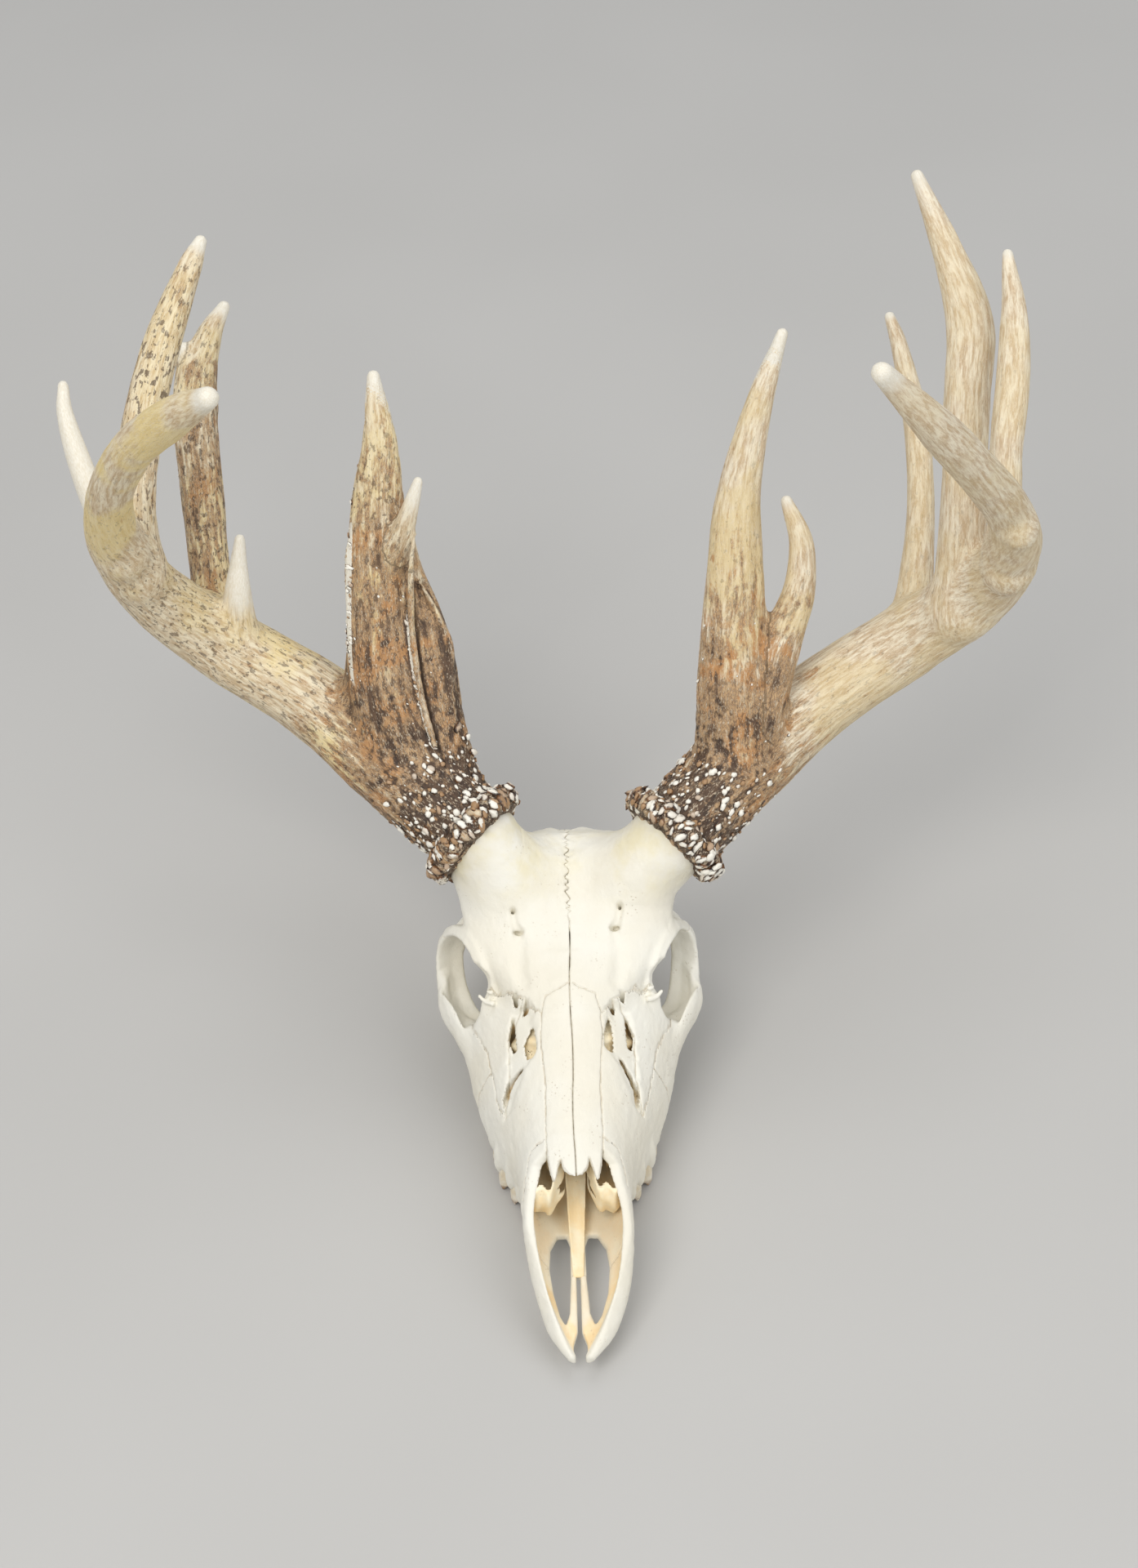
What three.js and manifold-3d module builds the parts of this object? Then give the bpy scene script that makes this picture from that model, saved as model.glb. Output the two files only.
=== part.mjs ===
// White-tailed buck skull: cranium and antlers, without the lower jaw.
// Millimetres. X runs across the head (the animal's left is +X), Y runs back from the nose
// and Z runs up from the plane that the upper cheek teeth chew on.
import * as THREE from 'three';
import { LoftGeometry } from 'three/addons/geometries/LoftGeometry.js';
import { mergeVertices } from 'three/addons/utils/BufferGeometryUtils.js';
import Module from 'manifold-3d';

const wasm = await Module();
wasm.setup();

// ---------- driving dimensions ----------
const GAP = 0.3;                 // clearance between neighbouring bones
const SIDES = 12;                // facets round the skull's long sections
const TINE_SIDES = 8;           // facets round a beam or tine
const FACE_BACK = 166;           // where the upper jaw ends and the braincase bones begin
const CAVITY_BACK = 158;         // back wall of the nasal cavity
const BURR_HEIGHT = 13;          // length of a burr along its antler
const BURR_RADIUS = 27.5;
const BURR_KNOBS = 11;
const BURR_ROOM = 1.1;           // room that a burr needs, as a share of its radius
const SPHENOID_BACK = 206;       // where the wall between the sockets meets the braincase

// The face's outer form: [y, half width, top, bottom, height of the widest line, upper power, lower power].
const MUZZLE = [
  [7, 4.5, 15, 8.5, 12, 2, 2],
  [24, 15.5, 26, 9, 14, 2, 2],
  [42, 21.2, 38, 11, 24, 2, 2],
  [60, 23.8, 53, 12.5, 36, 2, 2.1],
  [78, 24.2, 62.5, 14, 38, 2, 2.2],
  [96, 26.8, 68, 14.5, 32, 2.1, 2.6],
  [114, 34, 73, 14, 27, 2.1, 2.6],
  [132, 41.5, 79, 14, 26, 1.9, 2.2],
  [150, 46.8, 85.5, 14, 33, 1.72, 2],
  [166, 48.6, 92, 20, 43, 1.7, 2],
  [175, 46, 94.5, 32, 50, 1.7, 2],
];
// The nasal cavity, in the same terms.
const CAVITY = [
  [3, 5, 50, 12.5, 26, 2, 2.4],
  [24, 12.3, 56, 13, 26, 2, 2.4],
  [42, 18, 58, 15, 28, 2, 2.4],
  [60, 20.6, 60, 16.5, 36, 2, 2.2],
  [78, 21, 59.3, 18, 38, 2, 2.2],
  [96, 22.5, 64.8, 18.5, 40, 2, 2.2],
  [114, 24.5, 69.8, 19, 44, 2, 2.2],
  [132, 27, 75.6, 20, 50, 2, 2.2],
  [148, 30, 80.5, 22, 56, 1.9, 2],
  [CAVITY_BACK, 28, 83, 30, 60, 1.9, 2],
];
// The roof of the skull between and over the eyes.
const ROOF = [
  [152, 17, 86, 66, 78, 2.3, 2],
  [163, 29, 90.5, 66, 78, 2.3, 2],
  [174, 37.6, 94, 68, 81, 2.3, 2],
  [185, 44, 97.5, 74, 86, 2.4, 2],
  [196, 49, 100.5, 78, 89, 2.4, 2],
  [205, 49.6, 103.5, 81, 92, 2.5, 2],
  [214, 48.5, 107, 84, 99, 2.6, 2],
  [225, 47, 110.5, 86, 103, 2.6, 2],
  [236, 42, 112.5, 84, 103, 2.6, 2],
  [247, 37, 106, 74, 94, 2.4, 2],
];
// The wall between the eye sockets.
const MIDWALL = [
  [150, 15, 84, 40, 62, 3, 3],
  [170, 16.5, 90, 37, 62, 3, 3],
  [190, 18, 95, 34, 62, 3, 3],
  [212, 26, 98, 31, 62, 2.6, 2.6],
];
// The braincase, down to the skull's base.
const BRAINCASE = [
  [198, 20, 95, 33, 62, 2.3, 2.3],
  [212, 30, 99, 31, 62, 2.2, 2.3],
  [226, 37.5, 103, 29, 62, 2.1, 2.4],
  [240, 40, 104, 28, 60, 2.1, 2.4],
  [253, 39, 97.5, 27.5, 57, 2.2, 2.4],
  [264, 36, 89, 27, 53, 2.4, 2.2],
  [270, 30, 83, 28, 50, 2.3, 2],
  [275, 20, 68, 31, 48, 2, 2],
];

const SOCKET_CENTRE = new THREE.Vector3(50, 188.5, 67);
const SOCKET_AXIS = new THREE.Vector3(0.86, -0.45, 0.2).normalize();
const SOCKET_RADIUS = 20.5;
// Cheek teeth, front to back: [y of the middle, x of the middle, length, width].
const TEETH = [
  [88.5, 20.5, 9.4, 8.6],
  [98.5, 23.5, 10.6, 10.2],
  [109.3, 26.2, 11, 12],
  [121.7, 29.2, 13.4, 13.6],
  [136.5, 31.2, 15.6, 14.6],
  [151.6, 31.2, 14.8, 13.6],
];

// Each antler: [x, y, z, half width across the front, half thickness].
const RIGHT_ANTLER = {
  beam: [
    [-43.4, 228, 122.3, 20.5, 20.5],
    [-80, 257, 143, 22, 20],
    [-118.3, 283.7, 161.8, 18.7, 18],
    [-157, 300.5, 180, 17.3, 17],
    [-186, 294, 217, 14.8, 15.5],
    [-196.8, 273.5, 262.5, 12.6, 13.5],
    [-192.5, 247.5, 308, 9.8, 11],
    [-176, 220, 352, 9.1, 10],
    [-153, 194, 387, 8.3, 8.6],
    [-135, 172, 411.5, 2.6, 2.6],
  ],
  parts: {
    beam_base: [0, 0.33],
    beam_middle: [0.33, 0.53],
    beam_outer: [0.53, 0.72],
    beam_end: [0.72, 1],
  },
  tines: {
    brow_blade: [
      [-69, 248, 146, 18, 12],
      [-79.5, 264, 180, 16.6, 10],
      [-82.3, 285, 216, 14.6, 9],
      [-81.6, 304, 252, 12.6, 8],
      [-79.5, 319.9, 281.2, 8, 6],
      [-81.2, 335.3, 307.3, 1.8, 1.8],
    ],
    brow_inner_blade: [
      [-50, 246, 140, 11, 9],
      [-55, 260, 170, 10.3, 7],
      [-58.5, 276, 194, 9, 6],
      [-62.5, 287, 211, 6, 4.5],
      [-65.3, 295, 225, 1.6, 1.6],
    ],
    brow_spur: [
      [-77, 284, 222, 7, 5],
      [-69.6, 287, 246, 5.9, 5],
      [-64.5, 292.5, 264, 4, 3.6],
      [-61.7, 297.8, 275.5, 1.4, 1.4],
    ],
    second_tine: [
      [-160, 301, 181, 11.5, 11],
      [-165, 333, 200, 9.8, 9.5],
      [-169, 367, 226, 10.5, 9.5],
      [-171, 397, 253, 10.3, 8.5],
      [-165, 417, 272, 6.5, 6],
      [-156, 430, 284, 1.8, 1.8],
    ],
    third_tine: [
      [-190, 283, 238, 11, 11],
      [-191, 299, 266, 10.3, 9.8],
      [-185, 320, 296, 9.4, 8.8],
      [-175, 343, 323, 8.4, 7.6],
      [-163, 366, 345, 5.8, 5.2],
      [-157, 377.5, 354, 1.8, 1.8],
    ],
    fourth_tine: [
      [-193, 270, 258, 8, 7.5],
      [-204, 280, 278, 6.4, 6.2],
      [-212, 293.5, 296, 5.3, 5],
      [-217, 306, 311, 3.8, 3.6],
      [-217.6, 315, 321, 1.3, 1.3],
    ],
    kicker: [
      [-150, 295, 178, 10, 8],
      [-149.4, 301.5, 206, 7, 5.5],
      [-148.3, 309.5, 220, 4.3, 3.6],
      [-147, 316.5, 231.5, 1.4, 1.4],
    ],
  },
  forks: {
    brow_blade: [
      [-98, 268, 157, 13, 10],
      [-92, 271, 172, 11, 9],
      [-87, 280, 196, 10, 8],
      [-84, 290, 215, 6, 6],
    ],
    second_tine: [
      [-170, 396, 250, 6.5, 6.5],
      [-173.5, 407.5, 263.5, 5, 4.5],
      [-177, 413, 272.5, 1.4, 1.4],
    ],
  },
};
const LEFT_ANTLER = {
  beam: [
    [50.3, 226, 120.1, 20.5, 20.5],
    [85, 254, 140.5, 21.2, 20],
    [123, 279.5, 157, 18.3, 18],
    [162, 292.5, 178, 17.4, 17],
    [195, 282, 217, 15.2, 15.5],
    [202.5, 258.5, 259.5, 11.5, 13],
    [194.5, 237.5, 295.5, 10.2, 11],
    [174.5, 212.5, 337, 9.4, 10],
    [154, 191, 374, 8.3, 8.6],
    [127.5, 169, 419, 2.6, 2.6],
  ],
  parts: {
    beam_base: [0, 0.33],
    beam_middle: [0.33, 0.49],
    beam_outer: [0.49, 0.69],
    beam_end: [0.69, 1],
  },
  tines: {
    brow_tine: [
      [79, 247, 146, 18, 14],
      [79, 264, 181, 16.5, 12],
      [80.5, 286, 217, 13.8, 10.8],
      [83, 308, 253, 10.1, 8.8],
      [92, 328.5, 285.5, 6.7, 6],
      [104.5, 348, 315.5, 1.6, 1.6],
    ],
    brow_fork: [
      [90, 254, 162, 11, 9],
      [101, 273, 193, 9.2, 8],
      [110, 287, 214, 7.3, 6.5],
      [111.5, 299, 232.5, 5.6, 5],
      [104.8, 311, 249, 1.5, 1.5],
    ],
    second_tine: [
      [162, 292, 176, 12, 11],
      [168.8, 323, 187.4, 8.5, 9],
      [173, 353.8, 210, 6.6, 7],
      [173, 385.5, 234.5, 6.1, 6],
      [166.5, 414, 259, 4.2, 4],
      [161.5, 427, 271.5, 1.5, 1.5],
    ],
    third_tine: [
      [184, 282, 203, 13.5, 12.5],
      [185.7, 305, 246, 10.5, 10.5],
      [188, 333, 289, 10.7, 9.6],
      [190, 354, 313, 11, 8.8],
      [181, 377.5, 337, 7.1, 6.4],
      [168, 404, 361.5, 1.8, 1.8],
    ],
    fourth_tine: [
      [201, 258, 243, 9, 9],
      [200.3, 287, 280, 7.6, 7.4],
      [205, 315, 307, 7.8, 7],
      [207, 337, 327, 6, 5.4],
      [205, 357.5, 348.5, 1.2, 1.2],
    ],
    broken_point: [
      [200.5, 254, 262, 9, 9],
      [200, 238, 280.5, 7, 7],
      [199.6, 230, 289, 6, 6],
    ],
  },
  forks: {},
};

// ---------- colours ----------
const BONE = { color: 0xf1ecdf, roughness: 0.6 };
const INNER_BONE = { color: 0xe6cf9f, roughness: 0.7 };
const DARK_ANTLER = { color: 0x5c3c25, roughness: 0.75 };
const PALE_ANTLER = { color: 0xc2a97f, roughness: 0.55 };

// ---------- general shapes ----------

// A smooth row of values between the given rows (a Catmull-Rom curve through them), t from 0 to 1.
function between(rows, t) {
  const last = rows.length - 1;
  const place = THREE.MathUtils.clamp(t, 0, 1) * last;
  const i = Math.min(Math.floor(place), last - 1);
  const f = place - i;
  const b = rows[i];
  const c = rows[i + 1];
  const a = i > 0 ? rows[i - 1] : b.map((value, k) => 2 * value - c[k]);
  const d = i + 2 <= last ? rows[i + 2] : c.map((value, k) => 2 * value - b[k]);
  return b.map((value, k) => {
    const slope = c[k] - a[k];
    const bend = 2 * a[k] - 5 * value + 4 * c[k] - d[k];
    const twist = 3 * value - a[k] - 3 * c[k] + d[k];
    return value + 0.5 * f * (slope + f * (bend + f * twist));
  });
}

// A closed triangle solid for joining and cutting.
function solidOf(geometry) {
  const bare = new THREE.BufferGeometry();
  bare.setAttribute('position', geometry.getAttribute('position'));
  bare.setIndex(geometry.index);
  const merged = mergeVertices(bare, 1e-4);
  const vertProperties = new Float32Array(merged.attributes.position.array);
  const triVerts = new Uint32Array(merged.index.array);
  return new wasm.Manifold(new wasm.Mesh({ numProp: 3, vertProperties, triVerts }));
}

const power = (value, p) => Math.sign(value) * Math.abs(value) ** p;

// A long form whose sections across Y are rounded boxes with their own upper and lower powers.
function longForm(rows, steps, sides = SIDES) {
  const sections = [];
  for (let i = 0; i <= steps; i += 1) {
    const [y, halfWidth, top, bottom, widest, upper, lower] = between(rows, i / steps);
    const ring = [];
    for (let j = 0; j < sides; j += 1) {
      const angle = (2 * Math.PI * j) / sides;
      const exponent = 2 / (Math.sin(angle) > 0 ? upper : lower);
      const height = Math.sin(angle) > 0 ? top - widest : widest - bottom;
      const x = -halfWidth * power(Math.cos(angle), exponent);
      ring.push(new THREE.Vector3(x, y, widest + height * power(Math.sin(angle), exponent)));
    }
    sections.push(ring);
  }
  return solidOf(new LoftGeometry(sections, { capStart: true, capEnd: true }));
}

// Makes a flat-sided ring enclose as much as the round one that it stands for.
const roundness = (sides) => Math.sqrt((2 * Math.PI) / sides / Math.sin((2 * Math.PI) / sides));

// The direction that the broad side of a tine faces: forward and up from the forehead.
const RACK_FACE = new THREE.Vector3(0, -0.743, 0.669);

// A bent form with an oval section, from one place along its rows to another, made bigger by grow.
function bentForm(rows, options = {}) {
  const { from = 0, to = 1, steps = 6, sides = TINE_SIDES, grow = 0, face = RACK_FACE } = options;
  const sections = [];
  const swell = roundness(sides);
  for (let i = 0; i <= steps; i += 1) {
    const t = from + ((to - from) * i) / steps;
    const [x, y, z, across, thick] = between(rows, t);
    const ahead = new THREE.Vector3(...between(rows, t + 0.01));
    const behind = new THREE.Vector3(...between(rows, t - 0.01));
    const along = ahead.sub(behind).normalize();
    const wide = new THREE.Vector3().crossVectors(face, along).normalize();
    const deep = new THREE.Vector3().crossVectors(along, wide);
    const ring = [];
    for (let j = 0; j < sides; j += 1) {
      const angle = (2 * Math.PI * j) / sides;
      const point = new THREE.Vector3(x, y, z);
      point.addScaledVector(wide, (across * swell + grow) * Math.cos(angle));
      point.addScaledVector(deep, (thick * swell + grow) * Math.sin(angle));
      ring.push(point);
    }
    sections.push(ring);
  }
  return solidOf(new LoftGeometry(sections, { capStart: true, capEnd: true }));
}

// An egg-shaped form.
function ball([x, y, z], [rx, ry, rz], segments = 8) {
  const geometry = new THREE.SphereGeometry(1, segments, Math.round(segments * 0.6));
  geometry.rotateX(Math.PI / 2);
  geometry.scale(rx, ry, rz);
  geometry.translate(x, y, z);
  return solidOf(geometry);
}

// A flat outline, drawn the same way round whichever side of the head it is on.
function shapeOf(outline) {
  const points = outline.map(([u, v]) => new THREE.Vector2(u, v));
  if (THREE.ShapeUtils.isClockWise(points)) points.reverse();
  return points;
}

// The same outline with every edge moved out by a margin.
function spread(points, margin) {
  const count = points.length;
  return points.map((point, i) => {
    const before = point.clone().sub(points[(i + count - 1) % count]).normalize();
    const after = points[(i + 1) % count].clone().sub(point).normalize();
    const outBefore = new THREE.Vector2(before.y, -before.x);
    const outAfter = new THREE.Vector2(after.y, -after.x);
    const corner = outBefore.add(outAfter);
    const reach = (2 * margin) / Math.max(corner.lengthSq(), 0.8);
    return point.clone().addScaledVector(corner, reach);
  });
}

// An upright block over an outline in X and Y.
function uprightBlock(outline, low, high, margin = 0) {
  const shape = new THREE.Shape(spread(shapeOf(outline), margin));
  const geometry = new THREE.ExtrudeGeometry(shape, { depth: high - low, bevelEnabled: false });
  geometry.translate(0, 0, low);
  return solidOf(geometry);
}

// A block across the head over an outline in Y and Z.
function crossBlock(outline, left, right, margin = 0) {
  const shape = new THREE.Shape(spread(shapeOf(outline), margin));
  const geometry = new THREE.ExtrudeGeometry(shape, { depth: right - left, bevelEnabled: false });
  const turn = new THREE.Matrix4().makeBasis(
    new THREE.Vector3(0, 1, 0),
    new THREE.Vector3(0, 0, 1),
    new THREE.Vector3(1, 0, 0),
  );
  geometry.applyMatrix4(turn);
  geometry.translate(left, 0, 0);
  return solidOf(geometry);
}

const onSide = (side, outline) => outline.map(([x, y]) => [x * side, y]);
const joined = (solids) => solids.reduce((sum, next) => sum.add(next));

// The main body of a cut piece, without crumbs that a cut left loose.
function largest(solid) {
  const bodies = solid.decompose();
  bodies.sort((a, b) => b.volume() - a.volume());
  return bodies[0];
}

// ---------- skull ----------

// The ring of bone round an eye, narrowing inwards, turned about the socket's axis.
function socketRing(side) {
  const rim = SOCKET_RADIUS;
  const profile = [
    [rim + 0.5, 3],
    [rim - 2, -14],
    [rim + 2, -14],
    [rim + 5, 0],
    [rim + 0.5, 3],
  ].map(([radius, depth]) => new THREE.Vector2(radius, depth));
  const geometry = new THREE.LatheGeometry(profile, 16);
  const turn = new THREE.Quaternion().setFromUnitVectors(new THREE.Vector3(0, 1, 0), SOCKET_AXIS);
  geometry.applyQuaternion(turn);
  geometry.translate(SOCKET_CENTRE.x, SOCKET_CENTRE.y, SOCKET_CENTRE.z);
  return mirrored(solidOf(geometry), side);
}

// The space inside a socket: it clears the bones behind the ring.
function socketSpace(side) {
  const depth = 46;
  const geometry = new THREE.CylinderGeometry(SOCKET_RADIUS + 1.5, SOCKET_RADIUS - 4, depth, 16);
  geometry.translate(0, 14 - depth / 2, 0);
  const turn = new THREE.Quaternion().setFromUnitVectors(new THREE.Vector3(0, 1, 0), SOCKET_AXIS);
  geometry.applyQuaternion(turn);
  geometry.translate(SOCKET_CENTRE.x, SOCKET_CENTRE.y, SOCKET_CENTRE.z);
  return mirrored(solidOf(geometry), side);
}

// A shape modelled on the +X side, put on either side.
function mirrored(solid, side) {
  return side > 0 ? solid : solid.mirror([1, 0, 0]);
}

// Cheekbone below and behind the eye, and the arch that reaches back to the braincase.
function cheekArch(side) {
  const rows = [
    [40, 152, 32, 5, 9],
    [50, 172, 42, 5, 8],
    [58.5, 194, 49, 3.6, 6.5],
    [59, 212, 52, 3, 5.5],
    [54, 227, 55, 3.2, 5.5],
    [44, 238, 57, 5, 7],
    [30, 244, 58, 7, 9],
  ];
  const face = new THREE.Vector3(0, 0, 1);
  return mirrored(bentForm(rows, { steps: 7, sides: 6, face }), side);
}

// One cheek tooth: a crown that narrows a little towards the chewing face.
function tooth([y, x, length, width], side) {
  const levels = [[17, 0.48], [0, 0.42]];
  const sections = levels.map(([z, size]) => {
    const corners = [[1, -1], [-1, -1], [-1, 1], [1, 1]];
    return corners.map(([u, v]) => new THREE.Vector3(x + u * width * size, y + v * length * size, z));
  });
  return mirrored(solidOf(new LoftGeometry(sections, { capStart: true, capEnd: true })), side);
}

// The bony ridge that holds a row of cheek teeth.
function toothRidge(side) {
  const rows = TEETH.map(([y, x, , width]) => [x, y, 19, width * 0.53, 8]);
  rows.unshift([19.5, 78, 20, 4, 4]);
  rows.push([30, 163, 24, 5, 7]);
  const face = new THREE.Vector3(0, 0, 1);
  return mirrored(bentForm(rows, { steps: 5, sides: 6, face }), side);
}

// The spur below the braincase, behind the ear bone, that reaches down to the level of the teeth.
function jugularProcess(side) {
  const rows = [
    [31, 258, 48, 6, 9],
    [31.5, 263, 28, 4.5, 7.5],
    [29.5, 263, 11, 3.6, 5.5],
    [28.5, 261, -3, 3, 3.6],
  ];
  const face = new THREE.Vector3(0, 1, 0);
  return mirrored(bentForm(rows, { steps: 4, sides: 6, face }), side);
}

// A thin plate below the wall between the sockets, beside the back of the nose.
function pterygoidPlate(side) {
  const outline = [[158, 36], [160, 17], [170, 14], [184, 20], [198, 27], [206, 36]];
  const plate = crossBlock(outline, 12.5, 15.5);
  return mirrored(plate, side);
}

// The stem that carries an antler, from the roof up to the underside of the burr.
function pedicle(antler) {
  const { centre, axis } = burrPlace(antler);
  const end = centre.clone().addScaledVector(axis, -BURR_HEIGHT / 2 - GAP);
  const row = (back, drop, radius) => {
    const point = end.clone().addScaledVector(axis, -back);
    return [point.x, point.y, point.z - drop, radius, radius];
  };
  return bentForm([row(24, 8, 24), row(12, 1, 21), row(0, 0, 18.8)], { steps: 3, sides: 12 });
}

// The opening of the nose: all above a line that climbs from the front teeth's place to the nasals.
function noseOpening() {
  return crossBlock([[0, 12.5], [14, 17], [88, 57], [88, 90], [0, 90]], -40, 40);
}

// A long slot through the front of the palate.
function palateSlot(side) {
  const outline = [
    [6.7, 25], [4.6, 32], [3.6, 50], [3.4, 68], [5, 73],
    [9, 72], [12.5, 64], [13.4, 53], [12, 40], [9.2, 29],
  ];
  return uprightBlock(onSide(side, outline), 0, 30);
}

// The gap between the two front bones, wider at their tips.
function tipGap() {
  const edge = [[1, 51], [1, 22], [2.6, 17], [2.8, 12], [1.4, 9], [2, 4]];
  return uprightBlock([...edge, ...onSide(-1, edge).reverse()], 0, 30);
}

// The opening in the face in front of the eye.
function faceWindow(side) {
  const outline = [
    [21, 161], [17, 152], [15.6, 141], [19, 135], [25, 127],
    [28.5, 117], [31, 118], [28.5, 131], [28.5, 147], [25, 158],
  ];
  return uprightBlock(onSide(side, outline), 47, 110);
}

function noseCavity() {
  return longForm(CAVITY, 6, 10);
}

// Where the nose opens behind the palate.
function backOfNose() {
  const halfWidth = 12.5;
  const outline = [[150, 12], [151, 8], [215, 8], [206, 29], [190, 33], [156, 37], [146, 30]];
  return crossBlock(outline, -halfWidth, halfWidth);
}

// The whole cranium in one piece, with every opening cut.
function wholeCranium() {
  const sides = [-1, 1];
  const forms = [
    longForm(MUZZLE, 10),
    longForm(ROOF, 6),
    longForm(MIDWALL, 2, 8),
    longForm(BRAINCASE, 5),
    pedicle(RIGHT_ANTLER),
    pedicle(LEFT_ANTLER),
  ];
  for (const side of sides) {
    forms.push(toothRidge(side), ball([21.5 * side, 243, 23], [8, 13, 11]));
    forms.push(ball([13.5 * side, 275, 38], [8.5, 9.5, 13]), jugularProcess(side), pterygoidPlate(side));
    forms.push(...TEETH.map((row) => tooth(row, side)));
  }
  let cranium = joined(forms);
  cranium = cranium.subtract(noseCavity()).subtract(noseOpening());
  cranium = cranium.subtract(tipGap()).subtract(backOfNose());
  for (const side of sides) {
    cranium = cranium.subtract(socketSpace(side)).subtract(palateSlot(side)).subtract(faceWindow(side));
    cranium = cranium.add(cheekArch(side).subtract(socketMouth(side))).add(socketRing(side));
  }
  cranium = cranium.subtract(foramenMagnum());
  cranium = cranium.subtract(burrRoom(RIGHT_ANTLER)).subtract(burrRoom(LEFT_ANTLER));
  return cranium.subtract(uprightBlock([[-99, 0], [99, 0], [99, 320], [-99, 320]], -20, 0));
}

// The clear opening of a socket, for trimming what crosses its rim.
function socketMouth(side) {
  const geometry = new THREE.CylinderGeometry(SOCKET_RADIUS, SOCKET_RADIUS - 2.5, 20, 16);
  geometry.translate(0, -5, 0);
  const turn = new THREE.Quaternion().setFromUnitVectors(new THREE.Vector3(0, 1, 0), SOCKET_AXIS);
  geometry.applyQuaternion(turn);
  geometry.translate(SOCKET_CENTRE.x, SOCKET_CENTRE.y, SOCKET_CENTRE.z);
  return mirrored(solidOf(geometry), side);
}

// The hole for the spinal cord.
function foramenMagnum() {
  return ball([0, 279, 47], [10, 20, 9.5]);
}

// ---------- the lines that part the bones ----------
const NASAL_LINE = [
  [0.15, 73], [2.5, 71], [5, 74], [6.3, 83], [8, 79], [9, 75.5], [10.5, 80], [12.3, 90],
  [12.4, 115], [14.2, 141], [13.5, 150], [11.5, 156.5], [5, 158.5], [0.15, 161],
];
const NASAL_SIDE = [[60, 48], [161, 76], [161, 120], [60, 120]];
const FRONTAL_LINE = [
  [0.15, 161.4], [5, 158.9], [11.7, 156.9], [13.9, 150], [21, 158], [27, 163.5],
  [38, 172], [75, 176], [75, 247], [0.15, 247],
];
const FRONTAL_SIDE = [[148, 66], [172, 70], [214, 80], [247, 96], [247, 145], [148, 145]];
const LACRIMAL_LINE = [
  [21, 158.5], [28.5, 147], [28.6, 131], [31, 117], [34, 124],
  [39, 150], [46, 166], [46, 174], [38, 172],
];
const PREMAXILLA_SIDE = [[0, 0], [47, 0], [51, 14], [58, 30], [72, 44], [90, 55], [92, 66], [0, 66]];
const ZYGOMATIC_LINE = [
  [34.5, 140], [60, 143], [72, 160], [72, 223], [44, 223], [40, 190], [36, 172], [40, 160],
];
const MAXILLA_SIDE = [[40, -2], [FACE_BACK, -2], [FACE_BACK, 80], [150, 95], [40, 95]];
const OCCIPITAL_SIDE = [[267, 110], [263, 70], [256, 42], [256, -5], [300, -5], [300, 110]];

// Takes one bone out of what is left of the cranium and leaves a thin gap round it.
function takeBone(rest, zone) {
  const bone = largest(rest.whole.intersect(zone(0)));
  rest.whole = rest.whole.subtract(zone(GAP));
  return bone;
}

function pairZone(side, outline, profile, low = -5, high = 150) {
  return (margin) => {
    const plan = uprightBlock(onSide(side, outline), low, high, margin);
    return profile ? plan.intersect(crossBlock(profile, -90, 90, margin)) : plan;
  };
}

function bones() {
  const rest = { whole: wholeCranium() };
  const shell = longForm(MUZZLE, 10).subtract(noseCavity());
  const found = {};
  for (const [side, name] of [[-1, 'right'], [1, 'left']]) {
    const half = (profile) => pairZone(side, [[GAP / 2, -5], [90, -5], [90, 300], [GAP / 2, 300]], profile);
    const nasalZone = pairZone(side, NASAL_LINE, NASAL_SIDE);
    found[`nasal_${name}`] = largest(shell.intersect(nasalZone(0)));
    rest.whole = rest.whole.subtract(nasalZone(GAP));
    found[`frontal_${name}`] = takeBone(rest, pairZone(side, FRONTAL_LINE, FRONTAL_SIDE));
    found[`lacrimal_${name}`] = takeBone(rest, pairZone(side, LACRIMAL_LINE, null, 44, 110));
    found[`zygomatic_${name}`] = takeBone(rest, pairZone(side, ZYGOMATIC_LINE, null, 28, 90));
    found[`premaxilla_${name}`] = takeBone(rest, half(PREMAXILLA_SIDE));
    found[`maxilla_${name}`] = takeBone(rest, half(MAXILLA_SIDE));
  }
  found.occipital = takeBone(rest, (margin) => crossBlock(OCCIPITAL_SIDE, -90, 90, margin));
  const wall = [[140, -5], [SPHENOID_BACK, -5], [SPHENOID_BACK, 150], [140, 150]];
  found.sphenoid = takeBone(rest, (margin) => crossBlock(wall, -90, 90, margin));
  found.braincase = largest(rest.whole);
  return found;
}

// The bones that show inside the nose: the trough in the middle, the scrolls and the bone behind them.
function innerBones() {
  const space = longForm(CAVITY.map(([y, w, top, bottom, mid, up, low]) => {
    return [y, w - GAP, top - GAP, bottom + GAP, mid, up, low];
  }), 6, 10);
  const vomerRows = [
    [50, 2.2, 21, 10, 15, 3, 3],
    [70, 3.4, 26, 10, 18, 3, 3],
    [92, 4.8, 36, 12, 24, 2.6, 2.6],
    [124, 5.5, 48, 12, 30, 2.6, 2.6],
  ];
  const vomer = longForm(vomerRows, 6, 12).intersect(space).subtract(noseOpening());
  const backEdge = CAVITY_BACK - GAP;
  const behind = uprightBlock([[-30, backEdge], [30, backEdge], [30, 180], [-30, 180]], 0, 120);
  const ethmoid = ball([0, 146, 58], [22, 20, 20]).intersect(space).subtract(behind);
  const found = { vomer: largest(vomer), ethmoid: largest(ethmoid) };
  for (const [side, name] of [[-1, 'right'], [1, 'left']]) {
    const rows = [[18, 84, 44, 5, 7], [19, 104, 48, 6, 9], [20, 122, 52, 6, 9]];
    const face = new THREE.Vector3(0, 0, 1);
    const scroll = mirrored(bentForm(rows, { steps: 6, face }), side);
    found[`turbinate_${name}`] = largest(scroll.intersect(space).subtract(noseOpening()));
  }
  return found;
}

// ---------- antlers ----------

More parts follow.
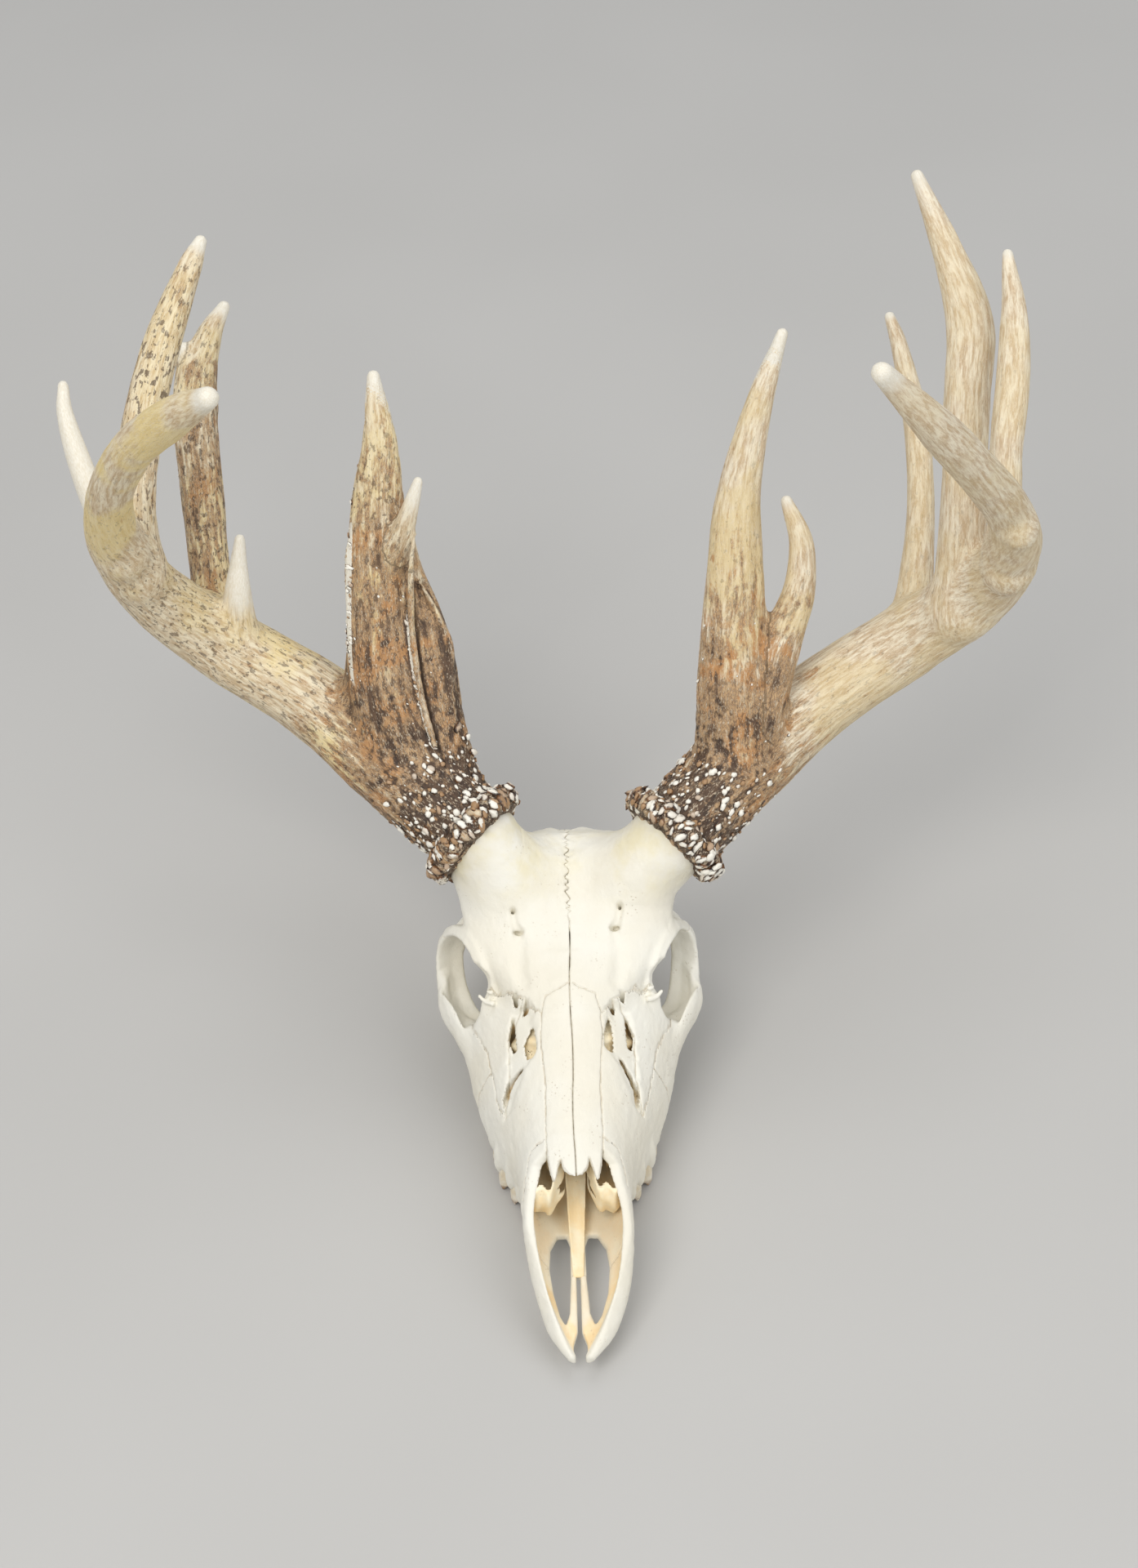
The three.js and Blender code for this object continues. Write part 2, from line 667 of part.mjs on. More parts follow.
// The middle of the burr and the way that the antler leaves it.
function burrPlace(antler) {
  const centre = new THREE.Vector3(...between(antler.beam, 0));
  const axis = new THREE.Vector3(...between(antler.beam, 0.01)).sub(centre).normalize();
  return { centre, axis };
}

// The knobbed ring at the foot of an antler.
function burr(antler) {
  const { centre, axis } = burrPlace(antler);
  const turn = new THREE.Quaternion().setFromUnitVectors(new THREE.Vector3(0, 1, 0), axis);
  const levels = [[-0.5, 0.76, 0], [-0.2, 1, 0.05], [0.2, 0.98, 0.05], [0.5, 0.8, 0]];
  const facets = BURR_KNOBS * 2;
  const sections = levels.map(([level, size, knob], row) => {
    const ring = [];
    for (let j = 0; j < facets; j += 1) {
      const angle = (2 * Math.PI * j) / facets;
      const radius = BURR_RADIUS * (size + (j % 2 === row % 2 ? knob : -knob));
      const point = new THREE.Vector3(Math.sin(angle), 0, Math.cos(angle)).multiplyScalar(radius);
      point.y = level * BURR_HEIGHT;
      ring.push(point.applyQuaternion(turn).add(centre));
    }
    return ring;
  });
  return solidOf(new LoftGeometry(sections, { capStart: true, capEnd: true }));
}

// Where a beam starts above its burr, as a share of its rows.
function beamStart(antler) {
  const { centre, axis } = burrPlace(antler);
  let t = 0;
  const height = () => new THREE.Vector3(...between(antler.beam, t)).sub(centre).dot(axis);
  while (height() < BURR_HEIGHT / 2 + GAP) t += 0.0005;
  return t;
}

// A short step along the beam that leaves the gap between two lengths.
function gapAfter(antler, t) {
  const here = new THREE.Vector3(...between(antler.beam, t));
  let next = t;
  while (new THREE.Vector3(...between(antler.beam, next)).distanceTo(here) < GAP) next += 0.0001;
  return next;
}

// Every length, tine and fork of one antler. A tine stops short of what it grows from.
function antlerPieces(antler) {
  const found = { burr: burr(antler) };
  const taken = [burrRoom(antler)];
  for (const [name, [first, to]] of Object.entries(antler.parts)) {
    const from = name === 'beam_base' ? beamStart(antler) : gapAfter(antler, first);
    found[name] = bentForm(antler.beam, { from, to, steps: 4, sides: 10 });
    const room = { from: from - 0.003, to: to + 0.003, steps: 4, sides: 10, grow: GAP + 0.15 };
    taken.push(bentForm(antler.beam, room));
  }
  for (const [name, rows] of Object.entries(antler.tines)) {
    const fork = antler.forks[name];
    const grown = (grow) => {
      const tine = bentForm(rows, { grow });
      return fork ? tine.add(bentForm(fork, { steps: 3, sides: 6, grow })) : tine;
    };
    found[name] = largest(grown(0).subtract(joined(taken)));
    taken.push(grown(GAP + 0.1));
  }
  return found;
}

// The burr with its clearance.
function burrRoom(antler) {
  const { centre, axis } = burrPlace(antler);
  const reach = BURR_RADIUS * BURR_ROOM;
  const geometry = new THREE.CylinderGeometry(reach, reach, BURR_HEIGHT + 2 * GAP, 14);
  geometry.applyQuaternion(new THREE.Quaternion().setFromUnitVectors(new THREE.Vector3(0, 1, 0), axis));
  geometry.translate(centre.x, centre.y, centre.z);
  return solidOf(geometry);
}

// ---------- the model ----------
const skull = new THREE.Group();

function addBone(name, solid, look) {
  const mesh = solid.getMesh();
  const geometry = new THREE.BufferGeometry();
  geometry.setAttribute('position', new THREE.BufferAttribute(new Float32Array(mesh.vertProperties), 3));
  geometry.setIndex(new THREE.BufferAttribute(new Uint32Array(mesh.triVerts), 1));
  const bone = new THREE.Mesh(geometry, new THREE.MeshStandardMaterial(look));
  bone.name = name;
  skull.add(bone);
}

for (const [name, solid] of Object.entries(bones())) addBone(name, solid, BONE);
for (const [name, solid] of Object.entries(innerBones())) addBone(name, solid, INNER_BONE);
for (const [side, antler] of [['right', RIGHT_ANTLER], ['left', LEFT_ANTLER]]) {
  for (const [name, solid] of Object.entries(antlerPieces(antler))) {
    const dark = name === 'burr' || name.startsWith('brow');
    addBone(`${side}_${name}`, solid, dark ? DARK_ANTLER : PALE_ANTLER);
  }
}

// The origin goes to the middle of the box, at the level that the skull rests on.
const box = new THREE.Box3().setFromObject(skull);
const middle = box.getCenter(new THREE.Vector3());
for (const bone of skull.children) bone.geometry.translate(-middle.x, -middle.y, -box.min.z);

export default skull;
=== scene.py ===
import math
import bpy
import numpy as np
from mathutils import Matrix, Vector


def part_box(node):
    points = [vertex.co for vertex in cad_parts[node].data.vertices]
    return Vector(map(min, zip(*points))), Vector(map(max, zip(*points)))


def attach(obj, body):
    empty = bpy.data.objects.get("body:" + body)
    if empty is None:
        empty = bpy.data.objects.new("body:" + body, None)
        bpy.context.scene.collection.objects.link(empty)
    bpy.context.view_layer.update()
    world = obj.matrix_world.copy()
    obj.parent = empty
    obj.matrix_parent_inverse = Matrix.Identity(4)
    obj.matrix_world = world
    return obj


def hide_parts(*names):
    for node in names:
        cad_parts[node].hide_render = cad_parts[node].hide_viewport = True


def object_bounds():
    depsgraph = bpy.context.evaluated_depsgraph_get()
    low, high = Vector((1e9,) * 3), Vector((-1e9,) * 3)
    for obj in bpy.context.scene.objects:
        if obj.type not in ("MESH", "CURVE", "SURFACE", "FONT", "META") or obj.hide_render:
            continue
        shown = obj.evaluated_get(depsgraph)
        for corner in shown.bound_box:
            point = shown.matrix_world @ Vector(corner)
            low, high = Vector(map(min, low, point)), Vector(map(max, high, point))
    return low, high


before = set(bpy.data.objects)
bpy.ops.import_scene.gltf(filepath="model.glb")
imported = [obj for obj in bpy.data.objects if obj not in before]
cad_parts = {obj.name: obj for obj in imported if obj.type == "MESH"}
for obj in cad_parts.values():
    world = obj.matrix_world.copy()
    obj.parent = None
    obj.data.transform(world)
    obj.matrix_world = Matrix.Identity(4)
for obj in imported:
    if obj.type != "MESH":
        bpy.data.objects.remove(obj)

CAD_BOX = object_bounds()
MM = 0.001
rng = np.random.default_rng(7)

# ------------------------------
# Sizes, in millimetres. X runs across the head, Y back from the nose, Z up from the chewing
# plane of the cheek teeth, as in part.mjs.
VOMER_FRONT = 50.0
low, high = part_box("vomer")
SHIFT = np.array([(low[0] + high[0]) / 2 / MM, low[1] / MM - VOMER_FRONT, 0.0])

# [y, half width, top, bottom, height of the widest line, upper power, lower power]
MUZZLE = [
    [7, 5.5, 15, 8.5, 12, 2, 2], [13, 10.2, 19, 8.6, 12.6, 2, 2], [24, 16.4, 26, 9, 14, 2, 2],
    [42, 22.2, 38, 11, 24, 2, 2], [60, 24.6, 53, 12.5, 36, 2, 2.1], [78, 25, 62.5, 14, 38, 2, 2.2],
    [96, 27, 68, 14.5, 32, 2.1, 2.6],
    [114, 34, 73, 14, 27, 2.1, 2.6], [132, 41.5, 79, 14, 26, 1.9, 2.2], [150, 46.8, 85.5, 14, 33, 1.72, 2],
    [166, 48.6, 92, 20, 43, 1.7, 2], [175, 46, 94.5, 32, 50, 1.7, 2],
]
CAVITY = [
    [3, 4.6, 50, 12.5, 26, 2, 2.4], [24, 11.6, 56, 13, 26, 2, 2.4], [42, 17.2, 58, 15, 28, 2, 2.4],
    [60, 20, 60, 16.5, 36, 2, 2.2], [78, 20.6, 59.3, 18, 38, 2, 2.2], [96, 22.3, 64.8, 18.5, 40, 2, 2.2],
    [114, 24.5, 69.8, 19, 44, 2, 2.2], [132, 27, 75.6, 20, 50, 2, 2.2], [148, 30, 80.5, 22, 56, 1.9, 2],
    [158, 28, 83, 30, 60, 1.9, 2],
]
ROOF = [
    [152, 17, 86, 66, 78, 2.3, 2], [163, 27.5, 90.5, 66, 78, 2.3, 2], [174, 35.4, 94, 69, 82, 2.3, 2],
    [185, 42, 97.5, 75, 87, 2.4, 2], [196, 47.6, 100.5, 79, 90, 2.4, 2], [205, 49, 103.5, 82, 93, 2.5, 2],
    [214, 48.5, 107, 84, 99, 2.6, 2], [225, 47, 110.5, 86, 103, 2.6, 2], [236, 42, 112.5, 84, 103, 2.6, 2],
    [247, 37, 106, 74, 94, 2.4, 2],
]
MIDWALL = [
    [150, 15, 84, 40, 62, 3, 3], [170, 16.5, 90, 37, 62, 3, 3], [190, 18, 95, 34, 62, 3, 3],
    [212, 26, 98, 31, 62, 2.6, 2.6],
]
BRAINCASE = [
    [198, 20, 95, 33, 62, 2.3, 2.3], [212, 30, 99, 31, 62, 2.2, 2.3], [226, 37.5, 103, 29, 62, 2.1, 2.4],
    [240, 40, 104, 28, 60, 2.1, 2.4], [253, 39, 97.5, 27.5, 57, 2.2, 2.4], [264, 36, 89, 27, 53, 2.4, 2.2],
    [270, 30, 83, 28, 50, 2.3, 2], [275, 20, 68, 31, 48, 2, 2],
]
SOCKET_CENTRE = np.array([50, 188.5, 67])
SOCKET_AXIS = np.array([0.86, -0.45, 0.2]) / np.linalg.norm([0.86, -0.45, 0.2])
SOCKET_LONG = np.array([-0.23, -0.62, -0.75])
# Cheek teeth: [y of the middle, x of the middle, length, width]
TEETH = [
    [92.5, 17, 9.2, 8.4], [101, 20.6, 10, 10], [110.4, 24.4, 10.6, 11.8],
    [121.7, 28.8, 13.4, 13.6], [136.5, 31, 15.6, 14.6], [151.6, 31, 14.8, 13.6],
]
BURR_HEIGHT = 13
CLEAR_OF_FLOOR = 0.02

# Antlers: [x, y, z, half width across the front, half thickness]
RIGHT_ANTLER = {
    "beam": [
        [-43.4, 228, 122.3, 20.5, 20.5], [-80, 257, 143, 22, 20], [-118.3, 283.7, 161.8, 18.7, 18],
        [-157, 300.5, 180, 17.3, 17], [-186, 294, 217, 14.8, 15.5], [-196.8, 273.5, 262.5, 12.6, 13.5],
        [-192.5, 247.5, 308, 9.8, 11], [-176, 220, 352, 9.1, 10], [-153, 194, 387, 8.3, 8.6],
        [-135, 172, 411.5, 3.6, 3.6],
    ],
    "brow_blade": [
        [-69, 248, 146, 18, 12], [-79.5, 264, 180, 16.6, 10], [-82.3, 285, 216, 14.6, 9],
        [-81.6, 304, 252, 12.6, 8], [-79.5, 319.9, 281.2, 8, 6], [-81.2, 335.3, 307.3, 2, 2],
    ],
    "brow_foot": [
        [-98, 268, 157, 13, 10], [-92, 271, 172, 11, 9], [-87, 280, 196, 10, 8], [-84, 290, 215, 6, 6],
    ],
    "brow_inner_blade": [
        [-51, 246, 140, 11, 9], [-56.2, 260, 168, 10.4, 7], [-58.8, 273, 191, 10.2, 5.6],
        [-61.5, 284, 208, 8, 4.6], [-66.5, 294, 226, 5, 3.6], [-70, 302, 246, 2, 2],
    ],
    "brow_spur": [[-76, 292, 236, 6, 4.5], [-70.5, 291.5, 250, 5.2, 4.6], [-65.8, 293.5, 264, 3.8, 3.4],
                  [-61.7, 297.8, 275.5, 1.3, 1.3]],
    "second_tine": [
        [-160, 301, 181, 11.5, 11], [-165, 333, 200, 9.8, 9.5], [-169, 367, 226, 10.5, 9.5],
        [-171, 397, 253, 10.3, 8.5], [-165, 417, 272, 6.5, 6], [-156, 430, 284, 2, 2],
    ],
    "second_fork": [[-170, 396, 250, 6.5, 6.5], [-173.5, 407.5, 263.5, 5, 4.5], [-177, 413, 272.5, 1.6, 1.6]],
    "third_tine": [
        [-190, 283, 238, 11, 11], [-191, 299, 266, 10.3, 9.8], [-185, 320, 296, 9.4, 8.8],
        [-175, 343, 323, 8.4, 7.6], [-163, 366, 345, 5.8, 5.2], [-157, 377.5, 354, 2, 2],
    ],
    "fourth_tine": [
        [-193, 270, 258, 8, 7.5], [-204, 280, 278, 6.4, 6.2], [-212, 293.5, 296, 5.3, 5],
        [-217, 306, 311, 3.8, 3.6], [-217.6, 315, 321, 1.5, 1.5],
    ],
    "kicker": [[-150, 295, 178, 10, 8], [-149.4, 301.5, 206, 7, 5.5], [-148.3, 309.5, 220, 4.3, 3.6],
               [-147, 316.5, 231.5, 1.5, 1.5]],
}
LEFT_ANTLER = {
    "beam": [
        [50.3, 226, 120.1, 20.5, 20.5], [85, 254, 140.5, 21.2, 20], [123, 279.5, 157, 18.3, 18],
        [162, 292.5, 178, 17.4, 17], [195, 282, 217, 15.2, 15.5], [202.5, 258.5, 259.5, 11.5, 13],
        [194.5, 237.5, 295.5, 10.2, 11], [174.5, 212.5, 337, 9.4, 10], [154, 191, 374, 8.3, 8.6],
        [128.2, 169.6, 416.4, 3.4, 3.4],
    ],
    "brow_tine": [
        [79, 247, 146, 18, 14], [79, 264, 181, 16.5, 12], [80.5, 286, 217, 13.8, 10.8],
        [83, 308, 253, 10.1, 8.8], [92, 328.5, 285.5, 6.7, 6], [104.5, 348, 315.5, 1.8, 1.8],
    ],
    "brow_fork": [[90, 254, 162, 11, 9], [101, 273, 193, 9.2, 8], [110, 287, 214, 7.3, 6.5],
                  [111.5, 299, 232.5, 5.6, 5], [104.8, 311, 249, 1.7, 1.7]],
    "second_tine": [
        [162, 292, 176, 12, 11], [168.8, 323, 187.4, 8.5, 9], [173, 353.8, 210, 6.6, 7],
        [173, 385.5, 234.5, 6.1, 6], [166.5, 414, 259, 4.2, 4], [161.7, 425.6, 270.8, 1.6, 1.6],
    ],
    "third_tine": [
        [184, 282, 203, 13.5, 12.5], [185.7, 305, 246, 10.5, 10.5], [188, 333, 289, 10.7, 9.6],
        [190, 354, 313, 11, 8.8], [181, 377.5, 337, 7.1, 6.4], [168, 404, 361.5, 2, 2],
    ],
    "fourth_tine": [
        [201, 258, 243, 9, 9], [200.3, 287, 280, 7.6, 7.4], [205, 315, 307, 7.8, 7],
        [207, 337, 327, 6, 5.4], [205, 357.5, 348.5, 1.4, 1.4],
    ],
    "broken_point": [[200.5, 254, 262, 9, 9], [200, 238, 280.5, 7, 7], [199.8, 232, 287, 6.2, 6.2]],
}
# The way the rack faces: forward and up from the forehead.
RACK_FACE = np.array([0, -0.743, 0.669])

# The lines where the bones of the face meet, drawn from above as [x, y] on one side.
NASAL_LINE = [
    [-3, 71.5], [0.6, 71.4], [3.4, 72.6], [5.2, 75.6], [6.4, 80], [7.7, 77], [8.6, 72.4], [9.5, 70],
    [10.6, 72.6], [12, 80], [12.8, 90],
    [12.4, 115], [14.2, 141], [13.5, 150], [11.5, 156.5], [5, 158.5], [0, 161],
    [-3, 161],
]
PALATE_SLOT = [[6.7, 25], [4.6, 32], [3.6, 50], [3.4, 68], [5, 73], [9, 72], [12.5, 64], [13.4, 53],
               [12, 40], [9.2, 29]]
TIP_GAP = [[0.9, 51], [0.9, 23], [2.2, 18.5], [3.1, 15], [3.1, 11.5], [2.2, 9.4], [2.6, 2], [-5, 2], [-5, 51]]
# The hollow in front of the eye, and the openings in its floor as rows of [x, y, half width].
FACE_HOLLOW = [[24, 164], [18, 157], [15.4, 147], [14.8, 134], [19.5, 129], [27, 115], [32.5, 115],
               [31, 130], [29.8, 147], [27.5, 160]]
FACE_SLITS = {
    -1: [
        [[25.4, 162, 0.9], [24.8, 158.6, 0.9]],
        [[20.2, 157, 1.1], [20.8, 155, 1.2]],
        [[26.6, 155, 0.5], [27.2, 148, 1.6], [26, 141, 0.9]],
        [[17.7, 145.6, 0.7], [18.9, 140.5, 2.6], [18.4, 135.2, 2.5]],
        [[23.5, 130.2, 1.2], [28.2, 128.4, 1.5], [30.6, 124, 1.3], [31, 120.5, 0.7]],
    ],
    1: [
        [[23.6, 161, 1.0], [23.4, 158.2, 0.8]],
        [[19, 155.6, 0.8], [18.8, 153.6, 1.1]],
        [[24.8, 153.5, 0.5], [26.4, 147, 1.7], [26.2, 141, 1.0]],
        [[16.9, 148.6, 0.6], [16.6, 141.5, 1.9], [16.6, 135.6, 1.9]],
        [[22, 132.6, 0.9], [25, 129, 1.4], [28.6, 124, 1.3], [28.9, 116, 0.7]],
    ],
}


# ------------------------------
# Solid fields: signed distances in millimetres on a grid of points, negative inside the bone.
FAR = 15.0


def between(rows, t):
    """Catmull-Rom curve through the rows at every t from 0 to 1, as one array of rows."""
    rows = np.asarray(rows, float)
    rows = np.vstack([2 * rows[0] - rows[1], rows, 2 * rows[-1] - rows[-2]])
    place = np.clip(t, 0, 1) * (len(rows) - 3)
    i = np.minimum(place.astype(int), len(rows) - 4)
    f = (place - i)[:, None]
    a, b, c, d = rows[i], rows[i + 1], rows[i + 2], rows[i + 3]
    return b + 0.5 * f * (c - a + f * (2 * a - 5 * b + 4 * c - d + f * (3 * b - a - 3 * c + d)))


def dot(a, b):
    """The product of each pair of rows."""
    return np.einsum("ij,ij->i", a, b)


def reach(axis, dx, dy, dz):
    """How far each offset goes along an axis."""
    return dx * axis[0] + dy * axis[1] + dz * axis[2]


def blend_rows(place, *tables):
    """Each table's row at every place, blended between the rows before and after it."""
    i = np.minimum(place.astype(int), len(tables[0]) - 2)
    f = (place - i)[:, None]
    return [table[i] * (1 - f) + table[i + 1] * f for table in tables]


def corner_weights(t):
    """The eight corners of a cell, each with its share at the places t inside the cell."""
    for corner in range(8):
        bits = np.array([corner & 1, corner >> 1 & 1, corner >> 2 & 1])
        yield bits, np.prod(np.where(bits, t, 1 - t), axis=1)


def inside_all(first, *others):
    """The distance to what several forms share: the largest of their distances."""
    for other in others:
        first = np.maximum(first, other)
    return first.astype(np.float32)


def egg_size(x, y, z, middle, radii):
    """The length of the offset from an egg's middle over its radii: 1 on the egg itself."""
    u, v, w = ((q - c) / r for q, c, r in zip((x, y, z), middle, radii))
    return np.sqrt(u ** 2 + v ** 2 + w ** 2)


def mirrored(points, faces, side):
    """The same surface for the left side, or turned over to the right side."""
    return (points, faces) if side > 0 else (points * [-1, 1, 1], faces[:, ::-1])


def merge(a, b, soft):
    """The nearer of two distances, rounded where they are within soft of each other."""
    if soft <= 0:
        return np.minimum(a, b)
    h = np.clip(0.5 + 0.5 * (b - a) / soft, 0, 1)
    return b + (a - b) * h - soft * h * (1 - h)


class Field:
    """A box of grid points that forms are added to and cut from."""

    def __init__(self, low, step, value):
        self.low = low
        self.step = step
        self.value = value
        self.shape = value.shape

    def room(self, low, high, within=None):
        """The part of the grid inside a box, with its X, Y and Z as open arrays."""
        starts = [0, 0, 0] if within is None else [s.start for s in within]
        stops = self.shape if within is None else [s.stop for s in within]
        first = np.clip(np.floor((np.asarray(low) - self.low) / self.step).astype(int), starts, stops)
        last = np.clip(np.ceil((np.asarray(high) - self.low) / self.step).astype(int) + 1, starts, stops)
        part = tuple(slice(a, b) for a, b in zip(first, last))
        axes = [self.low[k] + self.step * np.arange(first[k], last[k]) for k in range(3)]
        x, y, z = np.meshgrid(*axes, indexing="ij", sparse=True)
        return part, x.astype(np.float32), y.astype(np.float32), z.astype(np.float32)

    def add(self, low, high, form, soft):
        """Joins a form on inside a box."""
        part, x, y, z = self.room(low, high)
        self.value[part] = merge(self.value[part], form(x, y, z), soft)

    def cut(self, low, high, form, soft):
        """Cuts a form away inside a box."""
        part, x, y, z = self.room(low, high)
        self.value[part] = -merge(-self.value[part], form(x, y, z), soft)


def empty_field(low, high, step):
    """A field with nothing in it that reaches from one corner to the other."""
    low = np.asarray(low, float)
    shape = np.ceil((np.asarray(high) - low) / step).astype(int) + 1
    return Field(low, step, np.full(shape, FAR, np.float32))


def row_at(rows, y, *columns):
    """The columns of a table of rows at every y, its first column."""
    return [np.interp(y, rows[:, 0], rows[:, k]) for k in columns]


def long_form(rows):
    """|x/w|^n + |z/h|^n = 1 across Y, with w, h and n running smoothly through the rows. Gives the two
    corners of its room and the form."""
    line = between(rows, np.linspace(0, 1, 240))
    ends = line[0, 0], line[-1, 0]

    def form(x, y, z):
        w, top, bottom, wide, up, low = (q.astype(np.float32) for q in row_at(line, y, *range(1, 7)))
        rise = z - wide
        h = np.where(rise > 0, top - wide, wide - bottom)
        n = np.where(rise > 0, up, low)
        u = np.maximum(np.abs(x) / w, 1e-3)
        v = np.maximum(np.abs(rise) / h, 1e-3)
        un, vn = u ** n, v ** n
        g = (un + vn) ** (1 / n)
        slope = np.hypot(un / u / w, vn / v / h) * g ** (1 - n)
        along = np.gradient(g, axis=1) / max(float(y.ravel()[1] - y.ravel()[0]), 1e-6)
        d = (g - 1) / np.sqrt(slope ** 2 + along ** 2)
        return np.maximum(np.maximum(d, ends[0] - y), y - ends[1]).astype(np.float32)

    lows = [-line[:, 1].max() - FAR, ends[0] - FAR, line[:, 3].min() - FAR]
    highs = [line[:, 1].max() + FAR, ends[1] + FAR, line[:, 2].max() + FAR]
    return lows, highs, form


def sweep_frames(rows, samples, face=RACK_FACE):
    """Centres, half sizes, the direction and the two cross directions along the curve through the rows."""
    line = between(rows, np.linspace(0, 1, samples))
    centre = line[:, :3]
    along = np.gradient(centre, axis=0)
    along /= np.linalg.norm(along, axis=1)[:, None]
    wide = np.cross(face, along)
    wide /= np.linalg.norm(wide, axis=1)[:, None]
    return centre, line[:, 3:5], along, wide, np.cross(along, wide)


def oval_distance(offset, half, along, wide, deep):
    """Distance from an oval's edge: k0 (k0 - 1) / k1, with k0 the length of (u/a, v/b, w/c) and k1 the
    length of (u/a^2, v/b^2, w/c^2). w lies along the curve and is 0 except past its ends."""
    a, b = half[:, 0], half[:, 1]
    u, v, w = dot(offset, wide), dot(offset, deep), dot(offset, along)
    c = np.minimum(a, b)
    k0 = np.sqrt((u / a) ** 2 + (v / b) ** 2 + (w / c) ** 2)
    k1 = np.sqrt((u / a ** 2) ** 2 + (v / b ** 2) ** 2 + (w / c ** 2) ** 2)
    return k0 * (k0 - 1) / np.maximum(k1, 1e-6)


def add_sweep(field, rows, soft, samples=40, face=RACK_FACE, cutting=False):
    """An oval carried along a curve, added or cut away: each grid point is measured from the nearest
    place on the curve."""
    centre, half, along, wide, deep = sweep_frames(rows, samples, face)
    room = half.max(axis=1) + max(9.0, soft + 1)
    part, x, y, z = field.room((centre - room[:, None]).min(axis=0), (centre + room[:, None]).max(axis=0))
    base = np.array([s.start for s in part])
    nearest = np.full(field.value[part].shape, 1e9, np.float32)
    place = np.zeros_like(nearest)
    for k in range(samples - 1):
        a, b = centre[k], centre[k + 1]
        r = max(room[k], room[k + 1])
        sub, gx, gy, gz = field.room(np.minimum(a, b) - r, np.maximum(a, b) + r, part)
        here = tuple(slice(s.start - o, s.stop - o) for s, o in zip(sub, base))
        ab = b - a
        t = np.clip(reach(ab, gx - a[0], gy - a[1], gz - a[2]) / (ab @ ab), 0, 1)
        far = (gx - a[0] - t * ab[0]) ** 2 + (gy - a[1] - t * ab[1]) ** 2 + (gz - a[2] - t * ab[2]) ** 2
        closer = far < nearest[here]
        nearest[here] = np.where(closer, far, nearest[here])
        place[here] = np.where(closer, k + t, place[here])
    hit = np.nonzero(nearest < (room.max() + 2) ** 2)
    points = np.stack([x.ravel()[hit[0]], y.ravel()[hit[1]], z.ravel()[hit[2]]], axis=1)
    middle, *oval = blend_rows(place[hit], centre, half, along, wide, deep)
    whole = np.full(nearest.shape, FAR, np.float32)
    whole[hit] = oval_distance(points - middle, *oval)
    sign = -1 if cutting else 1
    field.value[part] = sign * merge(sign * field.value[part], whole, soft)


def add_ball(field, centre, radii, soft, cutting=False):
    """An egg: k0 (k0 - 1) / k1 about its centre, with k0 the length of the offset over the radii and k1
    the same over their squares."""
    centre, radii = np.asarray(centre, float), np.asarray(radii, float)

    def form(x, y, z):
        u, v, w = ((q - c) / r for q, c, r in zip((x, y, z), centre, radii))
        k0 = np.sqrt(u ** 2 + v ** 2 + w ** 2)
        k1 = np.sqrt((u / radii[0]) ** 2 + (v / radii[1]) ** 2 + (w / radii[2]) ** 2)
        return (k0 * (k0 - 1) / np.maximum(k1, 1e-6)).astype(np.float32)

    (field.cut if cutting else field.add)(centre - radii - FAR, centre + radii + FAR, form, soft)


def outline_distance(outline, x, y):
    """Signed distance to a closed outline in the plane, negative inside."""
    points = np.asarray(outline, float)
    best = np.full(np.broadcast(x, y).shape, 1e9)
    inside = np.zeros(best.shape, bool)
    for a, b in zip(points, np.roll(points, -1, axis=0)):
        ab = b - a
        t = np.clip(((x - a[0]) * ab[0] + (y - a[1]) * ab[1]) / (ab @ ab), 0, 1)
        best = np.minimum(best, (x - a[0] - t * ab[0]) ** 2 + (y - a[1] - t * ab[1]) ** 2)
        crosses = (a[1] > y) != (b[1] > y)
        if a[1] != b[1]:
            inside ^= crosses & (x < a[0] + (y - a[1]) * ab[0] / ab[1])
    return np.where(inside, -1, 1) * np.sqrt(best)


